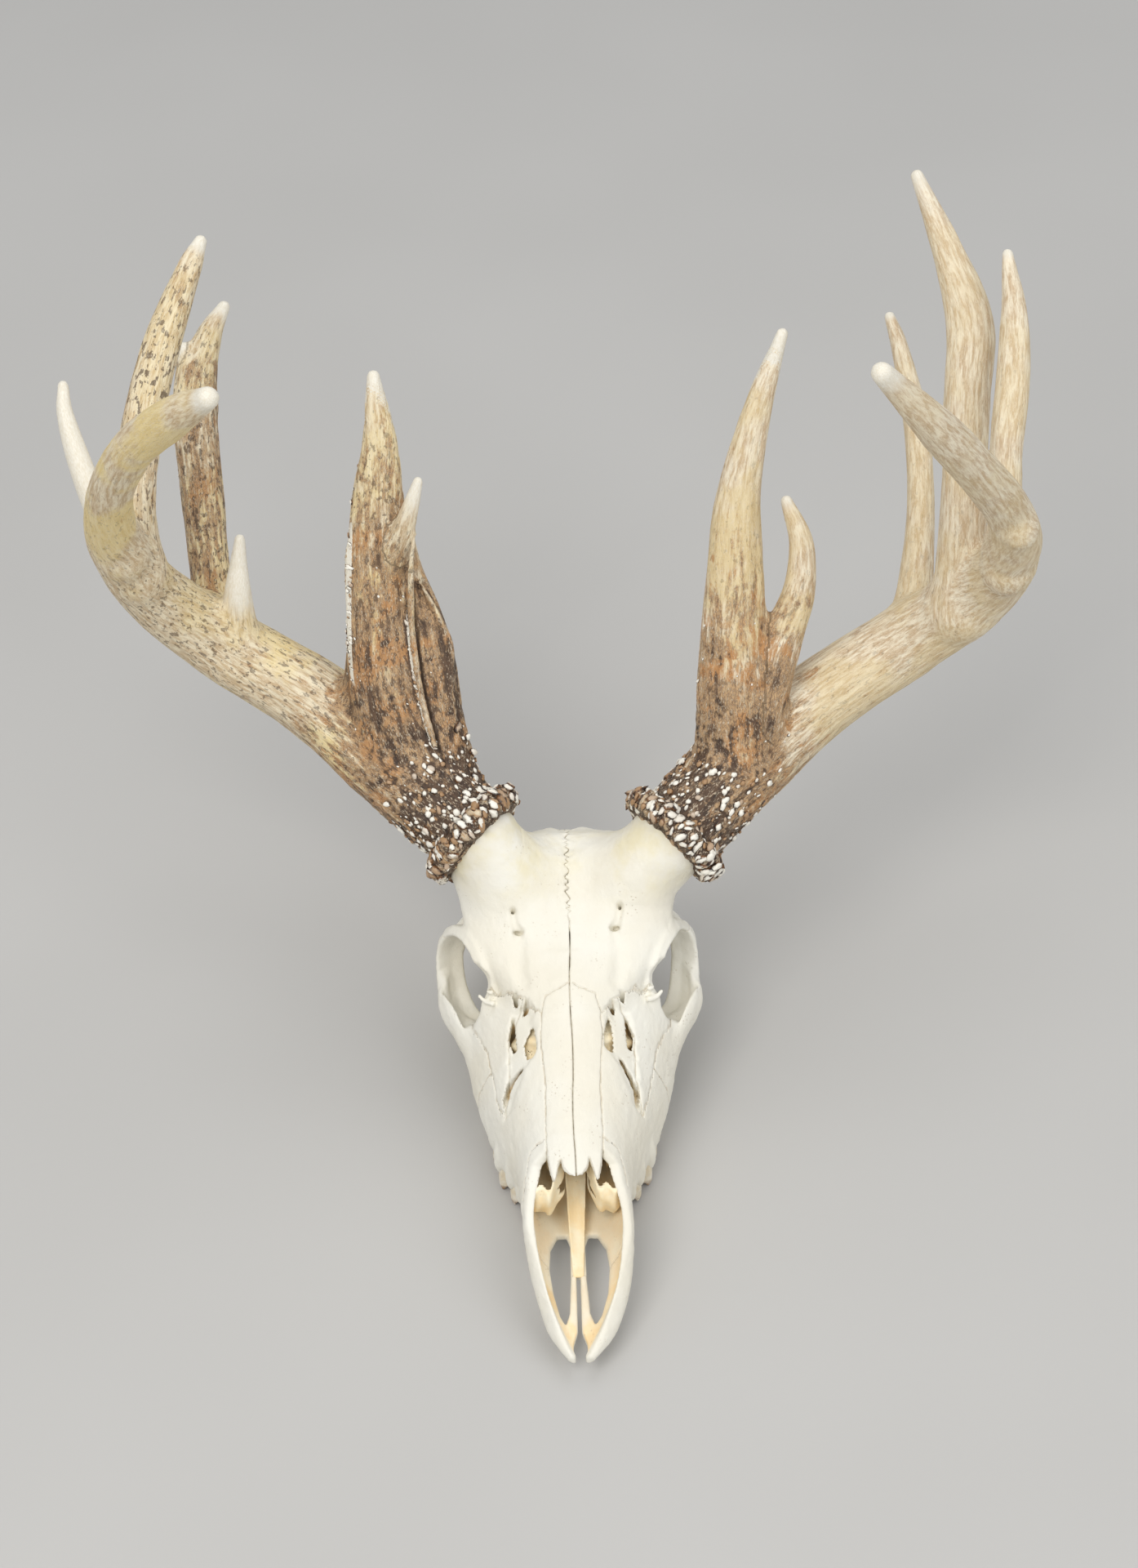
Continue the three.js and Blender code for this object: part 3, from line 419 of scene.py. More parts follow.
def surface(field):
    """Closed quads round the inside of a field: one point for each cell that the surface crosses,
    at the mean of its edge crossings."""
    f = field.value
    inside = f < 0
    cells = np.zeros(tuple(n - 1 for n in f.shape), np.uint8)
    corners = [(i, j, k) for i in (0, 1) for j in (0, 1) for k in (0, 1)]
    view = lambda q, i, j, k: q[i:q.shape[0] - 1 + i, j:q.shape[1] - 1 + j, k:q.shape[2] - 1 + k]
    for c in corners:
        cells += view(inside, *c)
    cell = np.stack(np.nonzero((cells > 0) & (cells < 8)), axis=1)
    value = np.stack([f[tuple((cell + c).T)] for c in corners], axis=1)
    total, count = np.zeros((len(cell), 3)), np.zeros(len(cell))
    for p, c in enumerate(corners):
        for axis in range(3):
            if c[axis]:
                continue
            q = corners.index(tuple(1 if k == axis else c[k] for k in range(3)))
            crossed = (value[:, p] < 0) != (value[:, q] < 0)
            t = np.where(crossed, value[:, p] / np.where(crossed, value[:, p] - value[:, q], 1), 0)
            point = np.tile(np.array(c, float), (len(cell), 1))
            point[:, axis] += t
            total += point * crossed[:, None]
            count += crossed
    points = field.low + field.step * (cell + total / count[:, None])
    number = np.full(cells.shape, -1, np.int64)
    number[tuple(cell.T)] = np.arange(len(cell))
    quads = []
    for axis in range(3):
        u, v = (axis + 1) % 3, (axis + 2) % 3
        a = np.moveaxis(inside, axis, 0)[:-1]
        b = np.moveaxis(inside, axis, 0)[1:]
        change = np.moveaxis(a != b, 0, axis)
        start = np.moveaxis(a, 0, axis)
        edge = np.stack(np.nonzero(change), axis=1)
        edge = edge[(edge[:, u] > 0) & (edge[:, v] > 0)]
        edge = edge[(edge[:, u] < f.shape[u] - 1) & (edge[:, v] < f.shape[v] - 1)]
        du, dv = np.eye(3, dtype=int)[u], np.eye(3, dtype=int)[v]
        ring = np.stack([number[tuple((edge - s).T)] for s in (du + dv, dv, 0 * du, du)], axis=1)
        outwards = start[tuple(edge.T)]
        ring[~outwards] = ring[~outwards][:, ::-1]
        quads.append(ring)
    return points, np.concatenate(quads)


def lean(points):
    """The skull isn't quite even: the sides of the snout stand up to 1.8 mm to the left, and the left
    brow is drawn in by up to 2.4 mm."""
    x, y, z = points.T
    snout = 1.8 * np.clip((78 - y) / 40, 0, 1) * np.clip(np.abs(x) / 22, 0, 1)
    brow = 2.4 * np.clip((x - 38) / 14, 0, 1) * np.exp(-((y - 206) / 11) ** 2) * np.clip((118 - z) / 14, 0, 1)
    return np.stack([x + snout - brow, y, z], axis=1)


def put_in(name, points, faces):
    """A smooth mesh object in metres, from points in millimetres of the even skull. It leans as lean()
    says and is held inside the solids' box."""
    points = lean(points)
    mesh = bpy.data.meshes.new(name)
    mesh.vertices.add(len(points))
    inside = np.clip((points + SHIFT) * MM, CAD_BOX[0], CAD_BOX[1])
    mesh.vertices.foreach_set("co", inside.astype(np.float32).ravel())
    size = faces.shape[1]
    mesh.loops.add(faces.size)
    mesh.loops.foreach_set("vertex_index", faces.astype(np.int32).ravel())
    mesh.polygons.add(len(faces))
    mesh.polygons.foreach_set("loop_start", np.arange(0, faces.size, size, dtype=np.int32))
    mesh.polygons.foreach_set("loop_total", np.full(len(faces), size, np.int32))
    mesh.polygons.foreach_set("use_smooth", np.full(len(faces), True))
    mesh.update(calc_edges=True)
    mesh.validate()
    piece = bpy.data.objects.new(name, mesh)
    bpy.context.scene.collection.objects.link(piece)
    return piece


def keep(piece, name, values):
    """Stores one number or one vector for each point, for the piece's material to read."""
    kind, field = ("FLOAT_VECTOR", "vector") if np.ndim(values) > 1 else ("FLOAT", "value")
    layer = piece.data.attributes.new(name, kind, "POINT")
    layer.data.foreach_set(field, np.asarray(values, np.float32).ravel())


def lattice(points, seed):
    """Smooth noise from -1 to 1: random values at whole-number places, blended by 3t^2 - 2t^3."""
    cell = np.floor(points).astype(np.int64)
    t = points - cell
    t = t * t * (3 - 2 * t)
    total = np.zeros(len(points))
    for bits, weight in corner_weights(t):
        c = (cell + bits) * np.array([73856093, 19349663, 83492791])
        h = (c[:, 0] ^ c[:, 1] ^ c[:, 2]) + seed * 2654435761
        h = (h ^ (h >> 13)) * 1274126177 & 0x7FFFFFFF
        h = (h ^ (h >> 16)) & 0xFFFF
        total += weight * (h / 32767.5 - 1)
    return total


def rough(points, seed, octaves):
    """Lattice noise summed at doubling frequencies and halving heights."""
    return sum(lattice(points * 2 ** k, seed + k) / 2 ** k for k in range(octaves))


# ------------------------------
# The cranium
STEP = 0.8
HALF_BOX = (np.array([0, 3, -3]), np.array([75.6, 292, 146]))


def ring_form(profile, round_off):
    """A closed profile in radius and depth, turned about the socket's axis and drawn out by 6% along
    its long way, down and forwards."""
    long = SOCKET_LONG - (SOCKET_LONG @ SOCKET_AXIS) * SOCKET_AXIS
    long /= np.linalg.norm(long)
    centre = SOCKET_CENTRE + 1.3 * long

    def form(x, y, z):
        dx, dy, dz = x - centre[0], y - centre[1], z - centre[2]
        depth = reach(SOCKET_AXIS, dx, dy, dz)
        far = reach(long, dx, dy, dz)
        radius = np.sqrt(np.maximum(dx ** 2 + dy ** 2 + dz ** 2 - depth ** 2 - far ** 2 * 0.11, 0))
        return (outline_distance(profile, radius, depth) - round_off).astype(np.float32)
    return form


def side_prism(outline):
    """An endless prism across the head over an outline in Y and Z."""
    return lambda x, y, z: outline_distance(outline, y + 0 * z, z + 0 * y).astype(np.float32) + 0 * x


def plan_prism(outline):
    """An endless upright prism over an outline in X and Y."""
    return lambda x, y, z: outline_distance(outline, x + 0 * y, y + 0 * x).astype(np.float32) + 0 * z


SOCKET_LOW, SOCKET_HIGH = SOCKET_CENTRE - 48, SOCKET_CENTRE + 44
# Swept forms on the left side of the head: [x, y, z, half width, half height]
CHEEK_ARCH = [
    [36.5, 150, 32, 5, 9], [47, 170.5, 43.5, 6, 9.5], [57.3, 189, 49.5, 4, 7.5], [59, 212, 52, 3, 5.5],
    [54, 227, 55, 3.2, 5.5], [44, 238, 57, 5, 7], [30, 244, 58, 7, 9],
]
LOWER_RIM = [
    [59, 200, 55, 1.4, 1.8], [59.2, 190.5, 48.2, 3, 3.4], [54.6, 182.5, 43.8, 3.8, 4],
    [47, 177, 43.6, 3.4, 4],
]
JUGULAR_SPUR = [
    [31, 258, 48, 6, 9], [31.5, 263, 28, 4.5, 7.5], [29.5, 263, 11, 3.6, 5.5], [28.5, 261, -3, 3, 3.6],
]
BROW_BRIDGE = [[0, 222, 101.5, 9, 9], [17, 222, 103, 11, 11], [34, 219, 100, 13, 13]]
NECK_CREST = [[8, 262, 88, 3, 3], [26, 258, 82, 3.4, 3.4], [36, 252, 66, 3, 3], [38, 250, 50, 2, 2]]
TEAR_NOTCH = [
    [43, 178, 85, 1.6, 1.6], [40.6, 173.5, 81, 3.6, 3.6], [41.6, 169.5, 76, 3.4, 3.4], [44.5, 168, 72, 2, 2],
]
TEAR_LIP = [[36, 165, 74, 1.6, 1.3], [39.5, 166.6, 73.6, 1.1, 1.1], [42, 168.6, 75.4, 0.9, 0.9]]
TEAR_SPIKE = [[36.4, 168, 78, 1.3, 1.3], [38.2, 168.6, 78, 0.8, 0.8]]
CHEEK_HOLE = [[27.5, 78, 31, 2.2, 2.2], [25.5, 86, 32, 2.4, 2.4], [22, 93, 33, 2, 2]]
EAR_HOLE = [[52, 236, 46, 3.6, 3.6], [40, 240, 47, 3.2, 3.2], [30, 243, 48, 3, 3]]
# [rows, softness, samples, whether it is cut away]
SMALL_FORMS = [
    [TEAR_NOTCH, 1.5, 16, True], [TEAR_LIP, 1.2, 12, False], [TEAR_SPIKE, 1, 8, False],
    [CHEEK_HOLE, 1.5, 12, True], [EAR_HOLE, 2, 12, True],
]
# Outlines from the side, [y, z], and socket profiles, [radius, depth]
NOSE_OPENING = [[0, 12.5], [14, 17], [82, 54.5], [85, 60], [85, 90], [-9, 90], [-9, 12.5]]
WING_PLATE = [[158, 36], [160, 17], [170, 14], [184, 20], [198, 27], [206, 36]]
BACK_OPENING = [[150, 12], [151, 8], [215, 8], [206, 29], [190, 33], [156, 37], [146, 30]]
SOCKET_SPACE = [[0, 14], [22, 14], [16.5, -32], [0, -32], [-9, -32], [-9, 14]]
SOCKET_MOUTH = [[0, 5], [20.5, 5], [18, -15], [0, -15], [-9, -15], [-9, 5]]
SOCKET_RIM = [[21.8, 1.6], [21.2, -5], [19.6, -9.6], [21.4, -10], [23.6, -4], [24, 0]]
UP = np.array([0, 0, 1])
BACKWARD = np.array([0, 1, 0])


def burr_place(antler):
    """The middle of the burr and the way the antler leaves it."""
    start = between(antler["beam"], np.array([0, 0.01]))[:, :3]
    axis = start[1] - start[0]
    return start[0], axis / np.linalg.norm(axis)


# The pedicle: [how far back from the burr, pull towards the middle line, drop, radius]
PEDICLE = [[25, 1, 17, 16.5], [12, 1.2, 5.5, 17.2], [0, 0, 0, 18.8]]
PEDICLE_X = 46.5


def pedicle_rows(antler):
    """The stump of bone that carries an antler, from the forehead to the burr."""
    centre, axis = burr_place(antler)
    end = centre - axis * (BURR_HEIGHT / 2 - 1)
    inner = PEDICLE_X / max(abs(centre[0]), PEDICLE_X)
    rows = []
    for back, pull, drop, radius in PEDICLE:
        x, y, z = end - axis * back
        rows.append([x * inner ** pull, y, z - drop, radius, radius])
    return rows


def slit_distance(rows, x, y):
    """Distance in plan to a slit: the nearest of its straight lengths, less the half width there."""
    best = np.full(np.broadcast(x, y).shape, 99.0)
    for (ax, ay, ar), (bx, by, br) in zip(rows, rows[1:]):
        t = np.clip(((x - ax) * (bx - ax) + (y - ay) * (by - ay)) / ((bx - ax) ** 2 + (by - ay) ** 2), 0, 1)
        best = np.minimum(best, np.hypot(x - ax - t * (bx - ax), y - ay - t * (by - ay)) - ar - t * (br - ar))
    return best


def open_face(skull, muzzle, side):
    """The hollow in front of the eye: the skin is lowered by 1.4 mm inside its outline, in a smooth
    step, and the slits go through its floor."""
    lows, highs = sorted([12 * side, 36 * side]), [110, 168]
    part, x, y, z = skull.room([lows[0], highs[0], 46], [lows[1], highs[1], 112])
    u = x * side
    edge = outline_distance(FACE_HOLLOW, u + 0 * y, y + 0 * u)
    wave = 0.5 * np.sin(y * 0.9) + 0.25 * np.sin(y * 1.7 + u)
    fall = np.clip(-(edge + wave) / 3.2, 0, 1)
    depth = 1.4 * fall * fall * (3 - 2 * fall)
    lowered = muzzle.value[part] + depth.astype(np.float32)
    near = skull.value[part]
    near = np.where((depth > 0) & (y < 156), np.maximum(near, lowered), near)
    for rows in FACE_SLITS[side]:
        gap = slit_distance(rows, u + 0 * y, y + 0 * u) + 0.3 * np.sin(y * 2.7 + u)
        near = -merge(-near, np.maximum(gap.astype(np.float32) + 0 * z, 50 - z), 0.6)
    skull.value[part] = near


def roof_height(skull, x, y):
    """The height of the top of the skull over a place."""
    place = np.round((np.array([x, y, 0]) - skull.low) / skull.step).astype(int)
    column = skull.value[place[0], place[1]]
    return skull.low[2] + skull.step * (np.nonzero(column < 0)[0][-1] + 0.5)


# The paired holes over the eyes: [x, y, radius across, radius along, depth], joined by a groove.
BROW_HOLES = {-1: [[-25.6, 194.6, 1.1, 1.1, 7], [-23.4, 185.6, 2.4, 1.1, 4]],
              1: [[23.8, 195.2, 0.9, 1.2, 7], [21.2, 186, 2.4, 1.2, 4]]}
# The shallow furrow that runs forward from them: [x, y, height of its middle over the bone].
FURROW = [[23, 181, 3.4], [24, 172, 3.4], [22.5, 163, 3.6]]


def open_brow(skull, side):
    """A small upright hole, a wider one in front of it, a groove between them and a furrow forward."""
    (ax, ay, *back_size), (bx, by, *front_size) = BROW_HOLES[side]
    back_height, front_height = roof_height(skull, ax, ay), roof_height(skull, bx, by)
    groove = [
        [ax, ay, back_height, 1.6, 1.6],
        [(ax + bx) / 2 + side * 0.3, (ay + by) / 2, (back_height + front_height) / 2 - 0.2, 1.5, 1.6],
        [bx, by + 1, front_height - 0.1, 2.3, 1.8],
        [bx + side * 0.6, by - 4.5, front_height - 0.7, 0.8, 0.8],
    ]
    add_sweep(skull, groove, 1.2, 16, face=UP, cutting=True)
    furrow = [[side * x, y, roof_height(skull, side * x, y) + above, 4, 4] for x, y, above in FURROW]
    add_sweep(skull, furrow, 2.5, 20, face=UP, cutting=True)
    holes = ((ax, ay, *back_size, back_height), (bx, by + 1.5, *front_size, front_height))
    for x, y, across, along, depth, height in holes:
        rows = [[x, y, height + 2, across, along], [x, y + 1.2, height - 1.5, across, along],
                [x + side, y + 3.5, height - depth, across * 0.6, along * 0.6]]
        add_sweep(skull, rows, 0.8, 14, face=BACKWARD, cutting=True)


def half_cranium():
    """The left half of the cranium: the muzzle as a solid, the hollow skull before the nose is opened,
    and the skull with its nose, sockets and palate open."""
    muzzle, cavity, arch = (empty_field(*HALF_BOX, STEP) for _ in range(3))
    muzzle.add(*long_form(MUZZLE), soft=0)
    cavity.add(*long_form(CAVITY), soft=0)
    skull = Field(muzzle.low, STEP, muzzle.value.copy())
    for rows, soft in ((ROOF, 4), (MIDWALL, 5), (BRAINCASE, 5)):
        skull.add(*long_form(rows), soft=soft)
    sockets = [[x, y, 19, width * 0.53, 8] for y, x, _, width in TEETH]
    add_sweep(skull, [[19.5, 78, 20, 4, 4], *sockets, [30, 163, 24, 5, 7]], 4, face=UP)
    for y, x, length, width in TEETH:
        for end in (-0.27, 0.27):
            add_ball(skull, [x + width * 0.44, y + end * length, 20], [2.6, length * 0.17, 9.5], 2.0)
    add_ball(skull, [21.5, 243, 23], [8, 13, 11], 3)
    add_ball(skull, [13.5, 275, 38], [8.5, 9.5, 13], 3)
    add_sweep(skull, JUGULAR_SPUR, 4, face=BACKWARD)
    add_sweep(skull, BROW_BRIDGE, 9, face=UP)
    plate = side_prism(WING_PLATE)
    skull.add([8, 150, 8], [20, 212, 42],
              lambda x, y, z: np.maximum(plate(x, y, z), np.abs(x - 14) - 1.5), 2.5)
    add_sweep(skull, NECK_CREST, 6)
    skull.value = -merge(-skull.value, cavity.value, 0.8)
    skin = Field(skull.low, STEP, skull.value.copy())
    skull.cut([0, 0, 5], [45, 95, 95], side_prism(NOSE_OPENING), 1.2)
    skull.cut([0, 0, 0], [8, 60, 32], plan_prism(TIP_GAP), 0.8)
    back = side_prism(BACK_OPENING)
    skull.cut([0, 140, 4], [20, 220, 42], lambda x, y, z: np.maximum(back(x, y, z), np.abs(x) - 12.3), 2)
    skull.cut(SOCKET_LOW, SOCKET_HIGH, ring_form(SOCKET_SPACE, 0), 2.5)
    skull.cut([0, 15, 0], [22, 80, 34], plan_prism(PALATE_SLOT), 1.5)
    add_sweep(arch, CHEEK_ARCH, 1, face=UP)
    arch.cut(SOCKET_LOW, SOCKET_HIGH, ring_form(SOCKET_MOUTH, 0), 1.5)
    skull.value = merge(skull.value, arch.value, 3.5)
    skull.add(SOCKET_LOW, SOCKET_HIGH, ring_form(SOCKET_RIM, 1.1), 2.5)
    add_sweep(skull, LOWER_RIM, 3)
    add_ball(skull, [0, 279, 47], [10, 20, 9.5], 2, cutting=True)
    for rows, soft, samples, cutting in SMALL_FORMS:
        add_sweep(skull, rows, soft, samples, UP, cutting=cutting)
    return muzzle, skin, skull


def both_sides(field):
    """The same field with its mirror image on the right side."""
    low = np.array([-(field.shape[0] - 1) * field.step, field.low[1], field.low[2]])
    return Field(low, field.step, np.concatenate([field.value[::-1][:-1], field.value]))


# The zones that part the bones. Each bone takes its own out of what is left.
GAP = -0.45
CRACK = 0.11
FRONTAL_LINE = [[-3, 156], [11, 152], [13.4, 149.6], [21, 158], [27, 163.5], [38, 172],
                [75, 176], [75, 247], [-3, 247]]
LACRIMAL_LINE = [[21, 158.5], [28.5, 147], [28.6, 131], [31, 117], [34, 124], [39, 150], [46, 166], [46, 174],
                 [38, 172]]
ZYGOMATIC_LINE = [[34.5, 140], [60, 143], [72, 160], [72, 223], [44, 223], [40, 190], [36, 172], [40, 160]]
NASAL_SIDE = [[60, 48], [161, 76], [161, 120], [60, 120]]
FRONTAL_SIDE = [[148, 66], [172, 70], [214, 80], [247, 96], [247, 145], [148, 145]]
PREMAXILLA_SIDE = [[0, -3], [47, -3], [51, 14], [58, 30], [72, 44], [90, 55], [92, 66], [0, 66]]
MAXILLA_SIDE = [[40, -3], [166, -3], [166, 80], [150, 95], [40, 95]]
OCCIPITAL_SIDE = [[267, 110], [263, 70], [256, 42], [256, -5], [300, -5], [300, 110]]
SPHENOID_SIDE = [[140, -5], [206, -5], [206, 150], [140, 150]]
WHOLE_HALF = [[-3, -5], [90, -5], [90, 300], [-3, 300]]
# [bone, outline from above, outline from the side or None, lowest and highest point, wander]
ZONES = [
    ["nasal", NASAL_LINE, NASAL_SIDE, -9, 199, 0.3],
    ["frontal", FRONTAL_LINE, FRONTAL_SIDE, -9, 199, 0.7],
    ["lacrimal", LACRIMAL_LINE, None, 44, 110, 0.5],
    ["zygomatic", ZYGOMATIC_LINE, None, 28, 90, 0.9],
    ["premaxilla", WHOLE_HALF, PREMAXILLA_SIDE, -9, 199, 0.4],
    ["maxilla", WHOLE_HALF, MAXILLA_SIDE, -9, 199, 0.6],
]


def middle_line(y):
    """Where the two sides meet: nearly straight on the nose, and a zigzag of 1.3 mm to each side on
    the forehead."""
    fold = np.abs((y / 3.7 + 0.22 * np.sin(y * 0.6)) % 1 - 0.5) * 4 - 1
    return 0.35 * np.sin(y * 0.11) + 1.3 * np.clip((y - 190) / 8, 0, 1) * fold


def open_middle(y):
    """The width of the crack along the middle: open on the nose and closed on the forehead."""
    return CRACK + (GAP - CRACK) * np.clip((y - 186) / 5, 0, 1)


def zone_distance(zone, side, x, y, z):
    """Distance to a bone's zone. Its edge wanders by smooth noise, as a suture does."""
    _, plan, profile, low, high, wander = zone

    def shift(a, b, seed):
        a, b = np.broadcast_arrays(a, b)
        places = np.stack([a.ravel() / 3.2, b.ravel() / 3.2, np.full(a.size, 0.5)], axis=1)
        return wander * rough(places, seed, 2).reshape(a.shape)

    u = x * side
    d = outline_distance(plan, u, y) + np.where(u < 1.5, 0, 1) * shift(x, y, 11)
    d = np.maximum(np.maximum(d, low - z), z - high)
    if profile is not None:
        d = np.maximum(d, outline_distance(profile, y, z) + shift(y, z, 12))
    return d.astype(np.float32)


def crop(field, low, high):
    """A copy of the part of a field inside a box."""
    part, *_ = field.room(low, high)
    corner = field.low + field.step * np.array([s.start for s in part])
    return Field(corner, field.step, field.value[part].copy())


def body_of(points, faces):
    """Only the largest joined body of a surface: labels spread along the edges until they settle."""
    label = np.arange(len(points))
    a, b = faces.ravel(), np.roll(faces, 1, axis=1).ravel()
    while True:
        low = np.minimum(label[a], label[b])
        new = label.copy()
        np.minimum.at(new, a, low)
        np.minimum.at(new, b, low)
        new = new[new]
        if np.array_equal(new, label):
            break
        label = new
    names, counts = np.unique(label[faces[:, 0]], return_counts=True)
    faces = faces[label[faces[:, 0]] == names[np.argmax(counts)]]
    used, faces = np.unique(faces, return_inverse=True)
    return points[used], faces.reshape(-1, 4)


def add_pedicles(skull):
    """The two pedicles, cut off flat under the burrs."""
    for antler in (RIGHT_ANTLER, LEFT_ANTLER):
        add_sweep(skull, pedicle_rows(antler), 14, 20)
    for antler in (RIGHT_ANTLER, LEFT_ANTLER):
        centre, axis = burr_place(antler)
        end = centre - axis * (BURR_HEIGHT / 2 - 1.5)
        skull.cut(centre - 34, centre + 34,
                  lambda x, y, z: -reach(axis, x - end[0], y - end[1], z - end[2]), 1)


def take_out(rest, part, taken):
    """Cuts a bone's zone out of what is left, and rounds the new edge by 0.08 mm."""
    rest.value[part] = np.maximum(rest.value[part], -taken) + 0.08 * np.clip(1 - taken / 0.8, 0, 1)


def part_bones(rest, skin):
    """Takes each bone out of what is left of the skull: first the paired ones, then the two at the back.
    What is left over is the braincase."""
    found = []
    for side, name in ((-1, "right"), (1, "left")):
        for zone in ZONES:
            ends = np.array(zone[1])
            y_low, y_high = ends[:, 1].min() - 4, ends[:, 1].max() + 4
            if zone[2] is not None:
                rows = np.array(zone[2])
                y_low, y_high = max(y_low, rows[:, 0].min() - 4), min(y_high, rows[:, 0].max() + 4)
            xs = sorted([-4 * side, (ends[:, 0].max() + 4) * side])
            box_low, box_high = [xs[0], y_low, -5], [xs[1], y_high, 150]
            part, x, y, z = rest.room(box_low, box_high)
            d = zone_distance(zone, side, x, y, z)
            bone = crop(skin if zone[0] == "nasal" else rest, box_low, box_high)
            past = side * (x - middle_line(y))
            bone.value = np.maximum(bone.value, np.maximum(d, open_middle(y) / 2 - past))
            kept = open_middle(y) / 2 if side < 0 else 1.0
            take_out(rest, part, np.maximum(d - GAP, -kept - past))
            found.append((f"{zone[0]}_{name}", bone))
    for name, outline in (("occipital", OCCIPITAL_SIDE), ("sphenoid", SPHENOID_SIDE)):
        ends = np.array(outline, float)
        box_low, box_high = [-90, ends[:, 0].min() - 4, -5], [90, ends[:, 0].max() + 4, 150]
        part, x, y, z = rest.room(box_low, box_high)
        wander = 0.5 * np.sin(x * 0.7 + 0.8 * np.sin(z * 0.5)) + 0 * y
        d = (outline_distance(outline, y + 0 * z, z + 0 * y) + wander).astype(np.float32)
        bone = crop(rest, box_low, box_high)
        bone.value = np.maximum(bone.value, d)
        take_out(rest, part, d - GAP)
        found.append((name, bone))
    return found + [("braincase", rest)]


def make_bones():
    """Every bone of the cranium as its own closed piece, in its node's place, with fine relief on its
    outer side and a rough band along the crown."""
    muzzle, skin, skull = (both_sides(f) for f in half_cranium())
    add_pedicles(skull)
    for side in (-1, 1):
        open_face(skull, muzzle, side)
        open_brow(skull, side)
    skull.cut([-200, -10, -20], [200, 320, 0], lambda x, y, z: z - CLEAR_OF_FLOOR + 0 * x + 0 * y, 0)
    pieces = []
    for name, bone in part_bones(skull, skin):
        points, faces = body_of(*surface(bone))
        outer = np.clip(1 + sample(muzzle, points) / 1.2, 0, 1)
        lumps = 0.22 * rough(points / 5.5, 51, 3) + 0.06 * rough(points * [1, 0.5, 1] / 1.4, 57, 2)
        crown = np.exp(-(points[:, 0] / 4) ** 2) * np.clip((points[:, 1] - 184) / 8, 0, 1)
        lumps = lumps + crown * (0.45 * rough(points / 1.9, 61, 2) - 0.15)
        points = points + vertex_normals(points, faces) * (lumps * outer)[:, None]
        piece = put_in("bone_" + name, points, faces)
        keep(piece, "inside", sample(muzzle, points))
        keep(piece, "seam", seam_distance(points))
        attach(piece, "root")
        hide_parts(name)
        pieces.append(piece)
    return pieces


def sample(field, points):
    """A field's value at each point, blended from the eight grid points round it."""
    place = np.clip((points - field.low) / field.step, 0, np.array(field.shape) - 1.001)
    i = place.astype(int)
    t = place - i
    total = np.zeros(len(points))
    for bits, weight in corner_weights(t):
        total += weight * field.value[tuple((i + bits).T)]
    return total


def seam_distance(points):
    """How far each point is from the nearest line where two bones meet."""
    x, y, z = points.T
    best = np.full(len(points), 20.0)
    for side in (-1, 1):
        taken = np.full(len(points), 20.0)
        for zone in ZONES:
            d = zone_distance(zone, side, x, y, z)
            best = np.where((taken > -0.1) & (x * side > 0.6), np.minimum(best, np.abs(d)), best)
            taken = np.minimum(taken, d)
    best = np.where(z > 55, np.minimum(best, np.abs(x - middle_line(y)) + 0.1), best)
    return np.minimum(best, np.abs(outline_distance(OCCIPITAL_SIDE, y, z)))


# ------------------------------
# Teeth and the bones that show inside the nose
TOOTH_STEP = 0.55
TEETH_BOX = ([10, 80, -1], [42, 163, 21])
TEETH_TOP = 20
CROWN_DIP = 3.5
MOLAR_LENGTH = 11.5
NOSE_STEP = 0.5
SCROLL_BOX = ([2, 64, 20], [24, 112, 60])
VOMER_BOX = ([-9, 48, 9], [9, 128, 52])
ETHMOID_STEP = 0.65
ETHMOID_BOX = ([-33, 108, 38], [33, 162, 86])
CAVITY_LINE = between(CAVITY, np.linspace(0, 1, 200))


